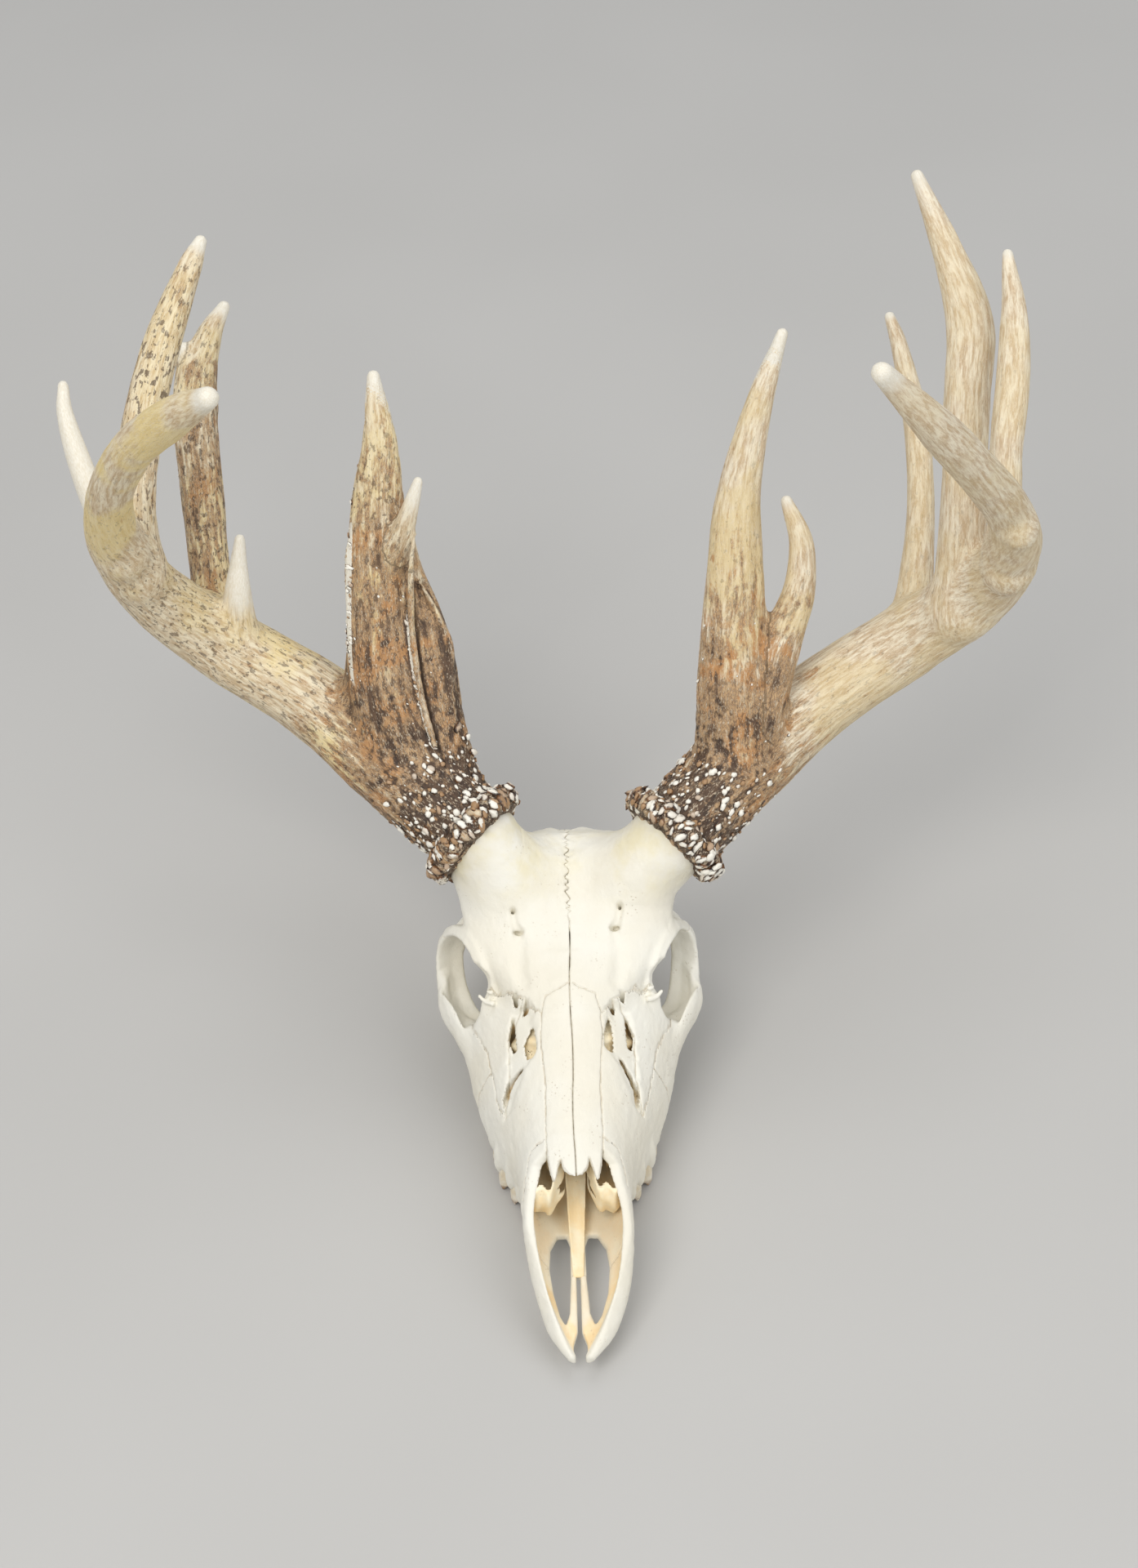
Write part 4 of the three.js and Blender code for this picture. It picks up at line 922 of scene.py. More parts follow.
def make_teeth(side, name):
    """A row of cheek teeth. Each crown is two rounded columns with a groove between them. Its chewing
    face lies at a height of 3.5 mm, less three ridges along the row: each is its height times
    exp(-((v - m) / s)^2), v being the place across the tooth."""
    field = empty_field(*TEETH_BOX, TOOTH_STEP)
    for y, x, length, width in TEETH:
        is_molar = length > MOLAR_LENGTH
        tooth = empty_field(*TEETH_BOX, TOOTH_STEP)
        for lobe in (-0.25, 0.25) if is_molar else (-0.12, 0.16):
            yc, a, b = y + lobe * length, width * 0.47, length * (0.235 if is_molar else 0.33)
            low, high = [x - a - 3, yc - b - 3, -1], [x + a + 3, yc + b + 3, 21]

            def column(px, py, pz, yc=yc, a=a, b=b, x=x):
                swell = 1 + 0.06 * np.sin(np.clip(pz / 14, 0, 1) * np.pi)
                u, v = (px - x) / (a * swell), (py - yc) / (b * swell)
                g = (np.abs(u) ** 2.6 + np.abs(v) ** 2.6) ** (1 / 2.6)
                return ((g - 1) * min(a, b) + 0 * pz).astype(np.float32)

            tooth.add(low, high, column, 0.7)

        def chewing(px, py, pz, y=y, x=x, length=length, width=width):
            u, v = (py - y) / length, (px - x) / width
            ridges = 1.9 * np.abs(np.cos(2 * np.pi * u)) ** 0.7
            outer = np.exp(-((v - 0.36) / 0.1) ** 2) * (1.6 + ridges)
            inner = np.exp(-((v + 0.34) / 0.1) ** 2) * (0.9 + 0.8 * ridges)
            middle = np.exp(-(v / 0.07) ** 2) * 1.4
            face = CROWN_DIP - np.minimum(outer + inner + middle, CROWN_DIP)
            return (pz - np.maximum(face, CLEAR_OF_FLOOR)).astype(np.float32)

        part, px, py, pz = tooth.room([10, y - length * 0.515, -1], [42, y + length * 0.515, 21])
        tooth.value[part] = np.maximum(tooth.value[part], -chewing(px, py, pz))
        field.value = np.minimum(field.value, tooth.value)
    field.cut([10, 80, 18], [42, 163, 21], lambda px, py, pz: TEETH_TOP - pz, 0.5)
    points, faces = mirrored(*surface(field), side)
    piece = put_in("teeth_" + name, points, faces)
    keep(piece, "height", points[:, 2])
    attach(piece, "root")
    return piece


# The keel of the vomer, [y, half width, top], with its two ends, the depth of the trough along its top,
# how far its foot is sunk in the floor of the nose, and how narrow that foot is
KEEL = np.array([[50, 2.7, 15.8], [56, 3, 18], [66, 3.6, 22.5], [78, 4.2, 28], [92, 4.8, 35], [124, 5.5, 47]])
KEEL_FRONT = 50.5
KEEL_BACK = 124
TROUGH_DEPTH = 2.4
FOOT_SUNK = 1.2
FOOT_SHARE = 0.62


def make_vomer():
    """The keel in the middle of the nose, standing on the cavity's floor, with a shallow trough along
    its top: the top dips by 2.4 (1 - (x / w)^2) between its edges, w being the half width there."""
    field = empty_field(*VOMER_BOX, NOSE_STEP)

    def keel(x, y, z):
        wide, top = row_at(KEEL, y, 1, 2)
        waist = FOOT_SHARE + (1 - FOOT_SHARE) * np.clip((z - 12) / (top - 12), 0, 1) ** 2
        edge = np.abs(x) - wide * waist
        dip = TROUGH_DEPTH * np.clip(1 - ((x - 0.5) / wide) ** 2, 0, 1) * np.clip((y - 52) / 16, 0, 1)
        d = merge(-edge, -(z - top + dip), 0.8) * -1
        bed = row_at(CAVITY_LINE, y, 3)[0] - FOOT_SUNK
        return inside_all(d, bed - z, KEEL_FRONT - y, y - KEEL_BACK)

    field.add(*VOMER_BOX, keel, 0)
    return put_in("vomer_trough", *body_of(*surface(field)))


# The turbinate's egg, half the thickness of its shell, and where it ends below, inside, outside and
# behind. In front it ends just behind the line of the nose opening, [y, z] with its slope.
SCROLL_MIDDLE = (14.5, 90, 42)
SCROLL_RADII = (10, 19, 17)
SCROLL_SHELL = 0.42
SCROLL_BELOW, SCROLL_INNER, SCROLL_OUTER, SCROLL_BACK = 30.5, 6.5, 22.5, 108
OPENING_FOOT = (14, 16.5)
OPENING_SLOPE = 0.552


def make_scroll(side, name):
    """A turbinate: an eggshell of thin bone inside the cavity, torn away below in a ragged line."""
    field = empty_field(*SCROLL_BOX, NOSE_STEP)
    turn = 1.7 if side > 0 else 0.2

    def shell(x, y, z):
        wave = 0.05 * np.sin(x * 0.9 + turn) + 0.02 * np.sin(z * 0.5 + x * 0.6)
        egg = np.abs(egg_size(x, y, z, SCROLL_MIDDLE, SCROLL_RADII) - 1 + wave) * 11 - SCROLL_SHELL
        wide, top, low = row_at(CAVITY_LINE, y, 1, 2, 4)
        room = np.sqrt((x / (wide + 1)) ** 2 + (np.maximum(z - low, 0) / (top + 1 - low)) ** 2) - 1
        open_front = z - OPENING_FOOT[1] - OPENING_SLOPE * (y - OPENING_FOOT[0])
        egg = np.maximum(egg, np.maximum(room * 16, open_front))
        torn = SCROLL_BELOW + 0.3 * (x - 13) * (-1 if side > 0 else -0.6)
        torn = torn + 2.2 * np.sin(x * 0.95 + turn) + 1.3 * np.sin(x * 2.3 + 2 * turn) + 0.6 * np.sin(x * 5.1)
        inner = SCROLL_INNER + 1.4 * np.sin(z * 0.6 + turn) + 0.8 * np.sin(z * 1.7) + 0.1 * (44 - z)
        return inside_all(egg, torn - z, inner - x, x - SCROLL_OUTER, y - SCROLL_BACK)

    field.add(*SCROLL_BOX, shell, 0)
    return put_in("nose_scroll_" + name, *mirrored(*body_of(*surface(field)), side))


# The egg that holds the cells, half the thickness of a gap between plates, how far the side wall lies
# inside the cavity and half its thickness, and the height that everything is cut off at
CELLS_MIDDLE = (0, 146, 57)
CELLS_RADII = (24, 20, 20)
PLATE_GAP = 0.9
WALL_UNDER = 3
WALL_HALF = 0.5
CELLS_BELOW = 40


def make_ethmoid():
    """The mass of thin cells at the back of the nose: upright plates inside an egg, and on each side
    a thin wall 3 mm under the skin of the face."""
    field = empty_field(*ETHMOID_BOX, ETHMOID_STEP)

    def cells(x, y, z):
        egg = (egg_size(x, y, z, CELLS_MIDDLE, CELLS_RADII) - 1) * 19
        folds = np.abs(np.sin(x * 0.75 + 0.8 * np.sin(y * 0.35) + 0.6 * np.sin(z * 0.4)))
        plates = folds * 2 * PLATE_GAP - PLATE_GAP
        core = y - 150 - 2 * np.sin(z * 0.5)
        return inside_all(egg, np.minimum(plates, -core), y - 157)

    def wall(x, y, z):
        w, top, wide = row_at(CAVITY_LINE, y, 1, 2, 4)
        wave = 0.7 * np.sin(y * 0.5 + z * 0.3) + 0.5 * np.sin(z * 0.8 + y * 0.2)
        rise = np.maximum(z - wide, 0) / (top - WALL_UNDER - wide)
        g = np.sqrt((x / (w - WALL_UNDER)) ** 2 + rise ** 2) - 1
        sheet = np.abs(g * (top - wide) * 0.8 + wave) - WALL_HALF
        return inside_all(sheet, 50 - z, 112 - y, y - 158, 12.5 - np.abs(x))

    field.add(*ETHMOID_BOX, cells, 0)
    field.add(*ETHMOID_BOX, wall, 0)
    field.cut([-33, 108, 38], [33, 162, 44], lambda x, y, z: z - CELLS_BELOW, 0.5)
    return put_in("ethmoid_cells", *surface(field))


# ------------------------------
# Antlers
ANTLER_STEP = 1.12
GRAIN_APART = 400
GROOVE_BLEND = 2.6
RING_RADIUS = 22.6
RING_THICKNESS = 4.5
RING_INNER = 20
# Beaded ridges that stand on the right antler's broad brow tine: one along its outer edge and two down
# its face.
RIGHT_RIDGES = [
    [[-93.6, 299, 250, 0.6, 0.6], [-95.4, 293, 238, 1.7, 1.6], [-96.4, 281, 214, 1.9, 1.8],
     [-95.4, 268, 192, 1.6, 1.6], [-92, 259, 179, 1.1, 1.1]],
    [[-64.6, 289, 252, 0.8, 0.8], [-66.8, 283.4, 238, 1.4, 1.4], [-68, 278, 219, 1.7, 1.7],
     [-67.3, 268.3, 201.4, 1.7, 1.7], [-64.4, 256.3, 182.2, 1.5, 1.5], [-59.2, 244.5, 162.6, 1.2, 1.2]],
    [[-64, 287, 226, 1, 1], [-55.2, 280.5, 209, 1.5, 1.5], [-50.8, 272.4, 197, 2.2, 2],
     [-50.6, 261, 180, 1.8, 1.8], [-48.6, 249.6, 161, 1.4, 1.4]],
]
# How each length is finished: [place along it, dark brown, ochre, speckle, bleached]
RIGHT_FINISH = {
    "beam": [[0, 1, .5, .9, 0], [.1, .8, .7, .8, 0], [.22, .42, .8, .7, 0], [.36, .22, .45, .75, 0],
             [.5, .2, .35, .7, 0], [.62, .2, .8, .35, 0], [.78, .18, 1, .25, 0], [.9, .1, .8, .1, .1],
             [.97, 0, .3, 0, .4], [1, 0, .1, 0, .8]],
    "brow_blade": [[0, 1, .6, .9, 0], [.4, .8, .9, .8, 0], [.7, .6, .5, .7, 0], [.93, .35, .4, .4, .1],
                   [1, 0, 0, 0, 1]],
    "brow_foot": [[0, .9, .6, .8, 0], [1, .8, .7, .7, 0]],
    "brow_inner_blade": [[0, 1, .6, .9, 0], [.6, .9, .8, .8, 0], [1, .5, .3, .3, .6]],
    "brow_spur": [[0, .7, .5, .8, 0], [.5, .35, .3, .4, .4], [1, 0, 0, 0, 1]],
    "second_tine": [[0, .5, .5, .8, 0], [.3, .7, .6, .9, 0], [.7, .65, .6, .8, 0], [.9, .3, .3, .4, .4],
                    [1, 0, 0, 0, 1]],
    "second_fork": [[0, .6, .5, .7, 0], [1, 0, 0, 0, 1]],
    "third_tine": [[0, .3, .5, .7, 0], [.5, .4, .3, .9, 0], [.85, .4, .3, .6, .3], [1, 0, 0, 0, 1]],
    "fourth_tine": [[0, .2, .5, .3, .3], [.3, 0, .2, .1, .9], [1, 0, 0, 0, 1]],
    "kicker": [[0, .3, .5, .6, 0], [.35, .05, .3, .3, .7], [1, 0, 0, 0, 1]],
}
LEFT_FINISH = {
    "beam": [[0, 1, .4, .7, 0], [.1, .75, .8, .5, 0], [.2, .4, .6, .35, 0], [.36, .26, .6, .25, 0],
             [.5, .18, .45, .25, 0], [.7, .12, .4, .15, .1], [.9, .05, .3, .1, .2], [.97, 0, .2, 0, .4],
             [1, 0, .1, 0, .8]],
    "brow_tine": [[0, 1, .8, .8, 0], [.25, .7, 1, .5, 0], [.55, .4, .9, .3, 0], [.85, .22, .6, .2, .1],
                  [.95, .1, .4, 0, .3], [1, 0, .1, 0, .8]],
    "brow_fork": [[0, .9, .8, .6, 0], [.5, .5, .8, .4, 0], [.9, .1, .5, 0, .2], [1, 0, .1, 0, .8]],
    "second_tine": [[0, .25, .5, .3, 0], [.5, .15, .4, .2, .1], [.93, .05, .3, .1, .2], [1, 0, .1, 0, .8]],
    "third_tine": [[0, .22, .5, .3, 0], [.3, .12, .35, .15, .1], [.8, .1, .35, .1, .2], [1, 0, .1, 0, .7]],
    "fourth_tine": [[0, .18, .5, .2, 0], [.5, .12, .4, .15, .1], [.93, .05, .3, .1, .2], [1, 0, .1, 0, .8]],
    "broken_point": [[0, .2, .3, .1, .2], [1, .15, .6, 0, .5]],
}


def nearest_place(points, rows, samples=60):
    """For each point: how far along the rows the nearest place is, how far outside its oval the
    point lies, and its (across, deep, along) coordinates there in millimetres."""
    centre, half, along, wide, deep = sweep_frames(rows, samples)
    length = np.concatenate([[0], np.cumsum(np.linalg.norm(np.diff(centre, axis=0), axis=1))])[:, None]
    best = np.full(len(points), 1e9)
    place = np.zeros(len(points))
    for k in range(samples - 1):
        ab = centre[k + 1] - centre[k]
        t = np.clip((points - centre[k]) @ ab / (ab @ ab), 0, 1)
        far = np.sum((points - centre[k] - t[:, None] * ab) ** 2, axis=1)
        closer = far < best
        best = np.where(closer, far, best)
        place = np.where(closer, k + t, place)
    middle, size, along, wide, deep, length = blend_rows(place, centre, half, along, wide, deep, length)
    offset = points - middle
    local = np.stack([dot(offset, wide), dot(offset, deep), length[:, 0] + dot(offset, along)], axis=1)
    return place / (samples - 1), oval_distance(offset, size, along, wide, deep), local


def blunt(rows):
    """The same rows with a rounder end, 1 mm thicker and 1.2 mm shorter."""
    rows = np.array(rows, float)
    back = rows[-1, :3] - rows[-2, :3]
    rows[-1, :3] -= 1.2 * back / np.linalg.norm(back)
    rows[-1, 3:] += 1.0
    return rows


def antler_field(antler, ridges):
    """Beam and tines joined with soft roots, and the swollen ring of the burr at the foot."""
    rows = np.vstack([np.array(r)[:, :3] for r in antler.values()])
    field = empty_field(rows.min(axis=0) - 30, rows.max(axis=0) + [32, 14, 14], ANTLER_STEP)
    for name, tine in antler.items():
        soft, samples = (3, 90) if name == "beam" else (7, 46)
        add_sweep(field, blunt(tine), soft, samples)
    for ridge in ridges:
        add_sweep(field, ridge, 1.6, 40)
    centre, axis = burr_place(antler)
    cut_at = centre - axis * (BURR_HEIGHT / 2 - 0.2)
    u = np.cross(axis, [0, 0, 1])
    u /= np.linalg.norm(u)
    v = np.cross(axis, u)

    def ring(x, y, z):
        offset = x - centre[0], y - centre[1], z - centre[2]
        level, across, up = (reach(way, *offset) for way in (axis, u, v))
        radius, angle = np.hypot(across, up), np.arctan2(up, across)
        knobs = np.sin(angle * 13 + 1.2 * np.sin(angle * 3)) + 0.7 * np.sin(angle * 23 + level * 0.5)
        swell = np.hypot(radius - RING_RADIUS - knobs * 0.6, level / 1.1) - RING_THICKNESS - knobs * 0.4
        return swell.astype(np.float32)

    field.add(centre - 36, centre + 36, ring, 3)
    field.cut(centre - 44, centre + 44,
              lambda x, y, z: reach(axis, x - cut_at[0], y - cut_at[1], z - cut_at[2]), 1)
    return field


def groove_height(local, seed):
    """Long grooves and ridges: noise drawn out along the length, in three widths."""
    p = local / np.array([2.3, 2.3, 21]) + seed * 7.1
    q = local / np.array([6.5, 6.5, 60]) + seed * 3.3
    return 0.38 * lattice(p, seed) + 0.5 * lattice(q, seed + 5) + 0.2 * lattice(p * [1.6, 1.6, 2.6], seed + 9)


def finish_of(antler, finish, points):
    """Blends each length's finish and grooves over the antler by nearness, and gives the grain
    coordinates of the beam and of the nearest tine, with the tines' share."""
    grooves, looks, grains, outs = [], [], [], []
    for k, (name, rows) in enumerate(antler.items()):
        t, out, local = nearest_place(points, rows)
        looks.append(np.stack(row_at(np.array(finish[name]), t, 1, 2, 3, 4), axis=1))
        grains.append(local + np.array([0, 0, GRAIN_APART * k]))
        grooves.append(groove_height(grains[-1], k + 1))
        outs.append(out)
    outs = np.array(outs)
    weights = np.exp(-(outs - outs.min(axis=0)) / GROOVE_BLEND)
    weights /= weights.sum(axis=0)
    look = np.einsum("ki,kij->ij", weights, np.array(looks))
    groove = np.sum(weights * np.array(grooves), axis=0)
    tine = 1 + np.argmin(outs[1:], axis=0)
    second = np.array(grains)[tine, np.arange(len(points))]
    return look, groove, grains[0], second, 1 - weights[0], outs


def vertex_normals(points, faces):
    """The mean way that the faces round each point look."""
    a = points[faces[:, 2]] - points[faces[:, 0]]
    b = points[faces[:, 3]] - points[faces[:, 1]]
    n = np.cross(a, b)
    total = np.zeros_like(points)
    for k in range(4):
        np.add.at(total, faces[:, k], n)
    return total / np.maximum(np.linalg.norm(total, axis=1), 1e-9)[:, None]


def crest(points, faces, normals, passes):
    """How far each point stands proud of its neighbours, smoothed: ridges above zero, creases below."""
    a, b = faces.ravel(), np.roll(faces, 1, axis=1).ravel()
    count = np.bincount(a, minlength=len(points)) + np.bincount(b, minlength=len(points))

    def mean(values):
        return (np.bincount(a, values[b], len(points)) + np.bincount(b, values[a], len(points))) / count

    middle = np.stack([mean(points[:, k]) for k in range(3)], axis=1)
    proud = dot(points - middle, normals)
    for _ in range(passes):
        proud = mean(proud)
    return proud


def make_antler(antler, finish, name, ridges):
    """One antler in one piece, grooved along its length, with its finish kept on its points."""
    points, faces = body_of(*surface(antler_field(antler, ridges)))
    normals = vertex_normals(points, faces)
    look, groove, first, second, share, outs = finish_of(antler, finish, points)
    from_burr = np.linalg.norm(points - burr_place(antler)[0], axis=1)
    lumps = np.clip(1.5 - from_burr / 60, 0, 1)
    groove = groove * (1 - 0.75 * np.clip(look[:, 3], 0, 1)) * (0.7 + 0.5 * np.clip(look[:, 0], 0, 1))
    pebbles = np.abs(rough(points / 3.4, 31, 2))
    groove = groove + lumps * (0.9 * (0.45 - pebbles) + 0.3 * rough(points / 9, 41, 2))
    edges = np.clip(crest(points, faces, normals, 3) / 0.035 - 1, 0, 1)
    for ridge in ridges:
        edges = np.maximum(edges, np.clip(1.3 - nearest_place(points, np.array(ridge))[1] / 0.9, 0, 1))
    points = points + normals * groove[:, None]
    normals = vertex_normals(points, faces)
    piece = put_in("antler_" + name, points, faces)
    # How far each point stands proud: it sets the real wear tone of ridges and creases, and draws the painted
    # highlights (glints) to the crests
    worn = crest(points, faces, normals, 1) * 12
    kept = {"brown": look[:, 0], "ochre": look[:, 1], "speckle": look[:, 2], "bleached": look[:, 3],
            "groove": groove, "worn": worn, "edges": edges * (outs[1] < 2), "share": share,
            "from_burr": from_burr, "grain_a": first * MM, "grain_b": second * MM}
    for word, values in kept.items():
        keep(piece, word, values)
    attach(piece, "root")
    return piece, points, normals, look, from_burr, edges * (outs[1] < 1.5)


# ------------------------------
# Beads: the pearls of the antlers
BEAD_RISE = 0.85


def bead_shape(segments=7):
    """One bead: rings of an egg about Z, closed by a point above and one below."""
    angles = np.radians([-50, -12, 28, 60])
    turns = np.arange(segments) * 2 * np.pi / segments
    circle = np.stack([np.cos(turns), np.sin(turns), np.ones(segments)], axis=1)
    rings = [circle * [np.cos(a), np.cos(a), np.sin(a)] for a in angles]
    points = np.vstack(rings + [[[0, 0, 1]], [[0, 0, -1]]])
    top, bottom = len(points) - 2, len(points) - 1
    a = np.arange(segments)
    b = (a + 1) % segments
    last = (len(angles) - 1) * segments
    corners = []
    for r in range(0, last, segments):
        corners += [(r + a, r + b, r + b + segments), (r + a, r + b + segments, r + a + segments)]
    corners += [(last + a, last + b, np.full(segments, top)), (b, a, np.full(segments, bottom))]
    return points, np.concatenate([np.stack(c, axis=1) for c in corners])


def put_beads(name, places, normals, sizes, stretch, tangent):
    """Copies one bead to every place, a little flat, and stretched along the tangent."""
    shape, faces = bead_shape()
    side = np.cross(normals, tangent)
    side /= np.maximum(np.linalg.norm(side, axis=1), 1e-9)[:, None]
    ahead = np.cross(side, normals)
    wobble = 1 + 0.14 * rng.standard_normal((len(places), len(shape)))
    local = shape[None] * wobble[:, :, None]
    points = (places[:, None]
              + local[:, :, 0:1] * (ahead * (sizes * stretch)[:, None])[:, None]
              + local[:, :, 1:2] * (side * sizes[:, None])[:, None]
              + local[:, :, 2:3] * (normals * (sizes * BEAD_RISE)[:, None])[:, None])
    count = len(shape)
    all_faces = (faces[None] + count * np.arange(len(places))[:, None, None]).reshape(-1, 3)
    piece = put_in(name, points.reshape(-1, 3), all_faces)
    keep(piece, "lift", np.tile(shape[:, 2], len(places)))
    keep(piece, "tint", np.repeat(rng.random(len(places)), count))
    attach(piece, "root")
    return piece


def scatter(points, chance, cell):
    """Picks points with a chance for each, at most one in every cell of a jittered grid."""
    order = rng.permutation(len(points))
    order = order[rng.random(len(points)) < chance[order]]
    key = np.floor(points[order] / cell + 0.5).astype(np.int64) @ np.array([1, 4096, 16777216])
    _, first = np.unique(key, return_index=True)
    return order[first]


def make_pearls(antler, name, made):
    """Pearls on the burr in a crowded ring, and over the foot of the beam and the brow tines,
    fewer and smaller as they climb."""
    _, points, normals, look, from_burr, edges = made
    centre, axis = burr_place(antler)
    level = (points - centre) @ axis
    radius = np.linalg.norm(points - centre - level[:, None] * axis, axis=1)
    on_ring = (np.abs(level) < BURR_HEIGHT / 2) & (radius > RING_INNER)
    above = ~on_ring & (level > 4)
    dark = np.clip((look[:, 0] - 0.5) / 0.4, 0, 1)
    near = np.clip(1 - (from_burr - 24) / 30, 0, 1)
    # [chance for each point, spacing, smallest and largest half width, least and most stretch]
    kinds = [
        [np.where(on_ring & (level > -4.6), 0.3, 0), 4.3, 1.1, 2.2, 1.3, 2.1],
        [np.where(above, 0.08 * near ** 1.5, 0), 4.0, 0.8, 1.9, 1.0, 1.8],
        [np.where(above, 0.034 * np.clip(near, 0.1, 1) * dark, 0), 2.1, 0.35, 0.8, 1.0, 2.2],
        [np.where(above, 0.28 * edges * dark, 0), 2.3, 0.5, 1.1, 1.0, 2.2],
    ]
    picks, sizes, stretch = [], [], []
    for chance, cell, least, most, short, long in kinds:
        chosen = scatter(points, chance, cell)
        picks.append(chosen)
        sizes.append(least + (most - least) * rng.random(len(chosen)) ** 1.7)
        stretch.append(short + (long - short) * rng.random(len(chosen)))
    picks, sizes, stretch = (np.concatenate(q) for q in (picks, sizes, stretch))
    tangent = np.tile(axis, (len(picks), 1)) + 0.3 * rng.standard_normal((len(picks), 3))
    return put_beads("pearls_" + name, points[picks], normals[picks], sizes, stretch, tangent)


# ------------------------------
# Materials
class Shading:
    """A short way to add and join nodes in one material or group."""

    def __init__(self, tree):
        self.tree = tree
        tree.nodes.clear()

    def add(self, kind, **settings):
        node = self.tree.nodes.new(kind)
        for key, value in settings.items():
            setattr(node, key, value)
        return node

    def join(self, source, socket):
        """Links an output to the socket, or sets the socket to a number or colour."""
        if isinstance(source, (int, float, tuple)):
            socket.default_value = source
        else:
            self.tree.links.new(source, socket)

    def use(self, kind, inputs, output=0, **settings):
        """Adds a node, joins what is given to its inputs, and gives one of its outputs."""
        node = self.add(kind, **settings)
        for key, value in inputs.items():
            self.join(value, node.inputs[key])
        return node.outputs[output]

    def attribute(self, name, output="Fac"):
        return self.use("ShaderNodeAttribute", {}, output, attribute_name=name)

    def place(self):
        return self.use("ShaderNodeTexCoord", {}, "Object")

    def scaled(self, vector, scale):
        return self.use("ShaderNodeMapping", {"Vector": vector, "Scale": scale})

    def noise(self, vector, scale, detail=3.0, rough=0.55, distort=0.0):
        given = {"Vector": vector, "Scale": scale, "Detail": detail, "Roughness": rough,
                 "Distortion": distort}
        return self.use("ShaderNodeTexNoise", given, "Fac")

    def math(self, operation, a, b):
        return self.use("ShaderNodeMath", {0: a, 1: b, 2: 0.0}, operation=operation)

    def plus(self, a, b):
        return self.math("ADD", a, b)

    def minus(self, a, b):
        return self.math("SUBTRACT", a, b)

    def times(self, a, b):
        return self.math("MULTIPLY", a, b)

    def span(self, value, low, high, to_low=0.0, to_high=1.0):
        """The value's place between low and high, smoothed, as a number from to_low to to_high."""
        given = {"Value": value, "From Min": low, "From Max": high, "To Min": to_low, "To Max": to_high}
        return self.use("ShaderNodeMapRange", given, interpolation_type="SMOOTHSTEP")

    def patches(self, place, scale, low, high, detail=3.0, rough=0.55, faintest=0.0):
        """Soft-edged patches: noise spanned between two of its values."""
        return self.span(self.noise(place, scale, detail, rough), low, high, faintest)

    def mix(self, share, a, b):
        return self.use("ShaderNodeMix", {0: share, 6: a, 7: b}, 2, data_type="RGBA")

    def bump(self, height, strength, distance):
        given = {"Height": height, "Strength": strength, "Distance": distance}
        return self.use("ShaderNodeBump", given, "Normal")


def new_group(name, inputs, outputs):
    """A shader node group with vector inputs and number outputs."""
    tree = bpy.data.node_groups.new(name, "ShaderNodeTree")
    shading = Shading(tree)
    for label in inputs:
        tree.interface.new_socket(name=label, in_out="INPUT", socket_type="NodeSocketVector")
    for label in outputs:
        tree.interface.new_socket(name=label, in_out="OUTPUT", socket_type="NodeSocketFloat")
    start = shading.add("NodeGroupInput")
    end = shading.add("NodeGroupOutput")
    return tree, shading, start.outputs, end.inputs


def use_group(shading, tree, **values):
    """Puts a node group in a material and gives its outputs."""
    node = shading.add("ShaderNodeGroup", node_tree=tree)
    for label, value in values.items():
        shading.join(value, node.inputs[label])
    return node.outputs


def new_material(name, roughness, specular):
    """A material with one Principled shader, and its place coordinates."""
    material = bpy.data.materials.new(name)
    material.use_nodes = True
    shading = Shading(material.node_tree)
    shader = shading.add("ShaderNodeBsdfPrincipled")
    shader.inputs["Roughness"].default_value = roughness
    shader.inputs["Specular IOR Level"].default_value = specular
    end = shading.add("ShaderNodeOutputMaterial")
    shading.join(shader.outputs["BSDF"], end.inputs["Surface"])
    return material, shading, shader, shading.place()


def dress(shading, shader, base, normal, roughness):
    """Joins a colour, a bumped normal and a roughness to the shader."""
    for value, label in ((base, "Base Color"), (normal, "Normal"), (roughness, "Roughness")):
        shading.join(value, shader.inputs[label])


def bone_grain_group():
    """Fine pores and streaks along the head, as a height from 0 to 1 and a mask of the pores."""
    tree, s, given, out = new_group("bone grain", ["Place"], ["Height", "Pores"])
    place = given["Place"]
    streaks = s.noise(s.scaled(place, (1, 0.28, 1)), 900, 3, 0.6)
    soft = s.noise(place, 240, 4, 0.6)
    pits = s.use("ShaderNodeTexVoronoi", {"Vector": place, "Scale": 520}, "Distance")
    pores = s.times(s.span(pits, 0.24, 0.1), s.patches(place, 60, 0.52, 0.66, 2))
    height = s.plus(s.times(streaks, 0.35), s.times(soft, 0.65))
    s.join(s.minus(height, s.times(pores, 0.6)), out["Height"])
    s.join(pores, out["Pores"])
    return tree


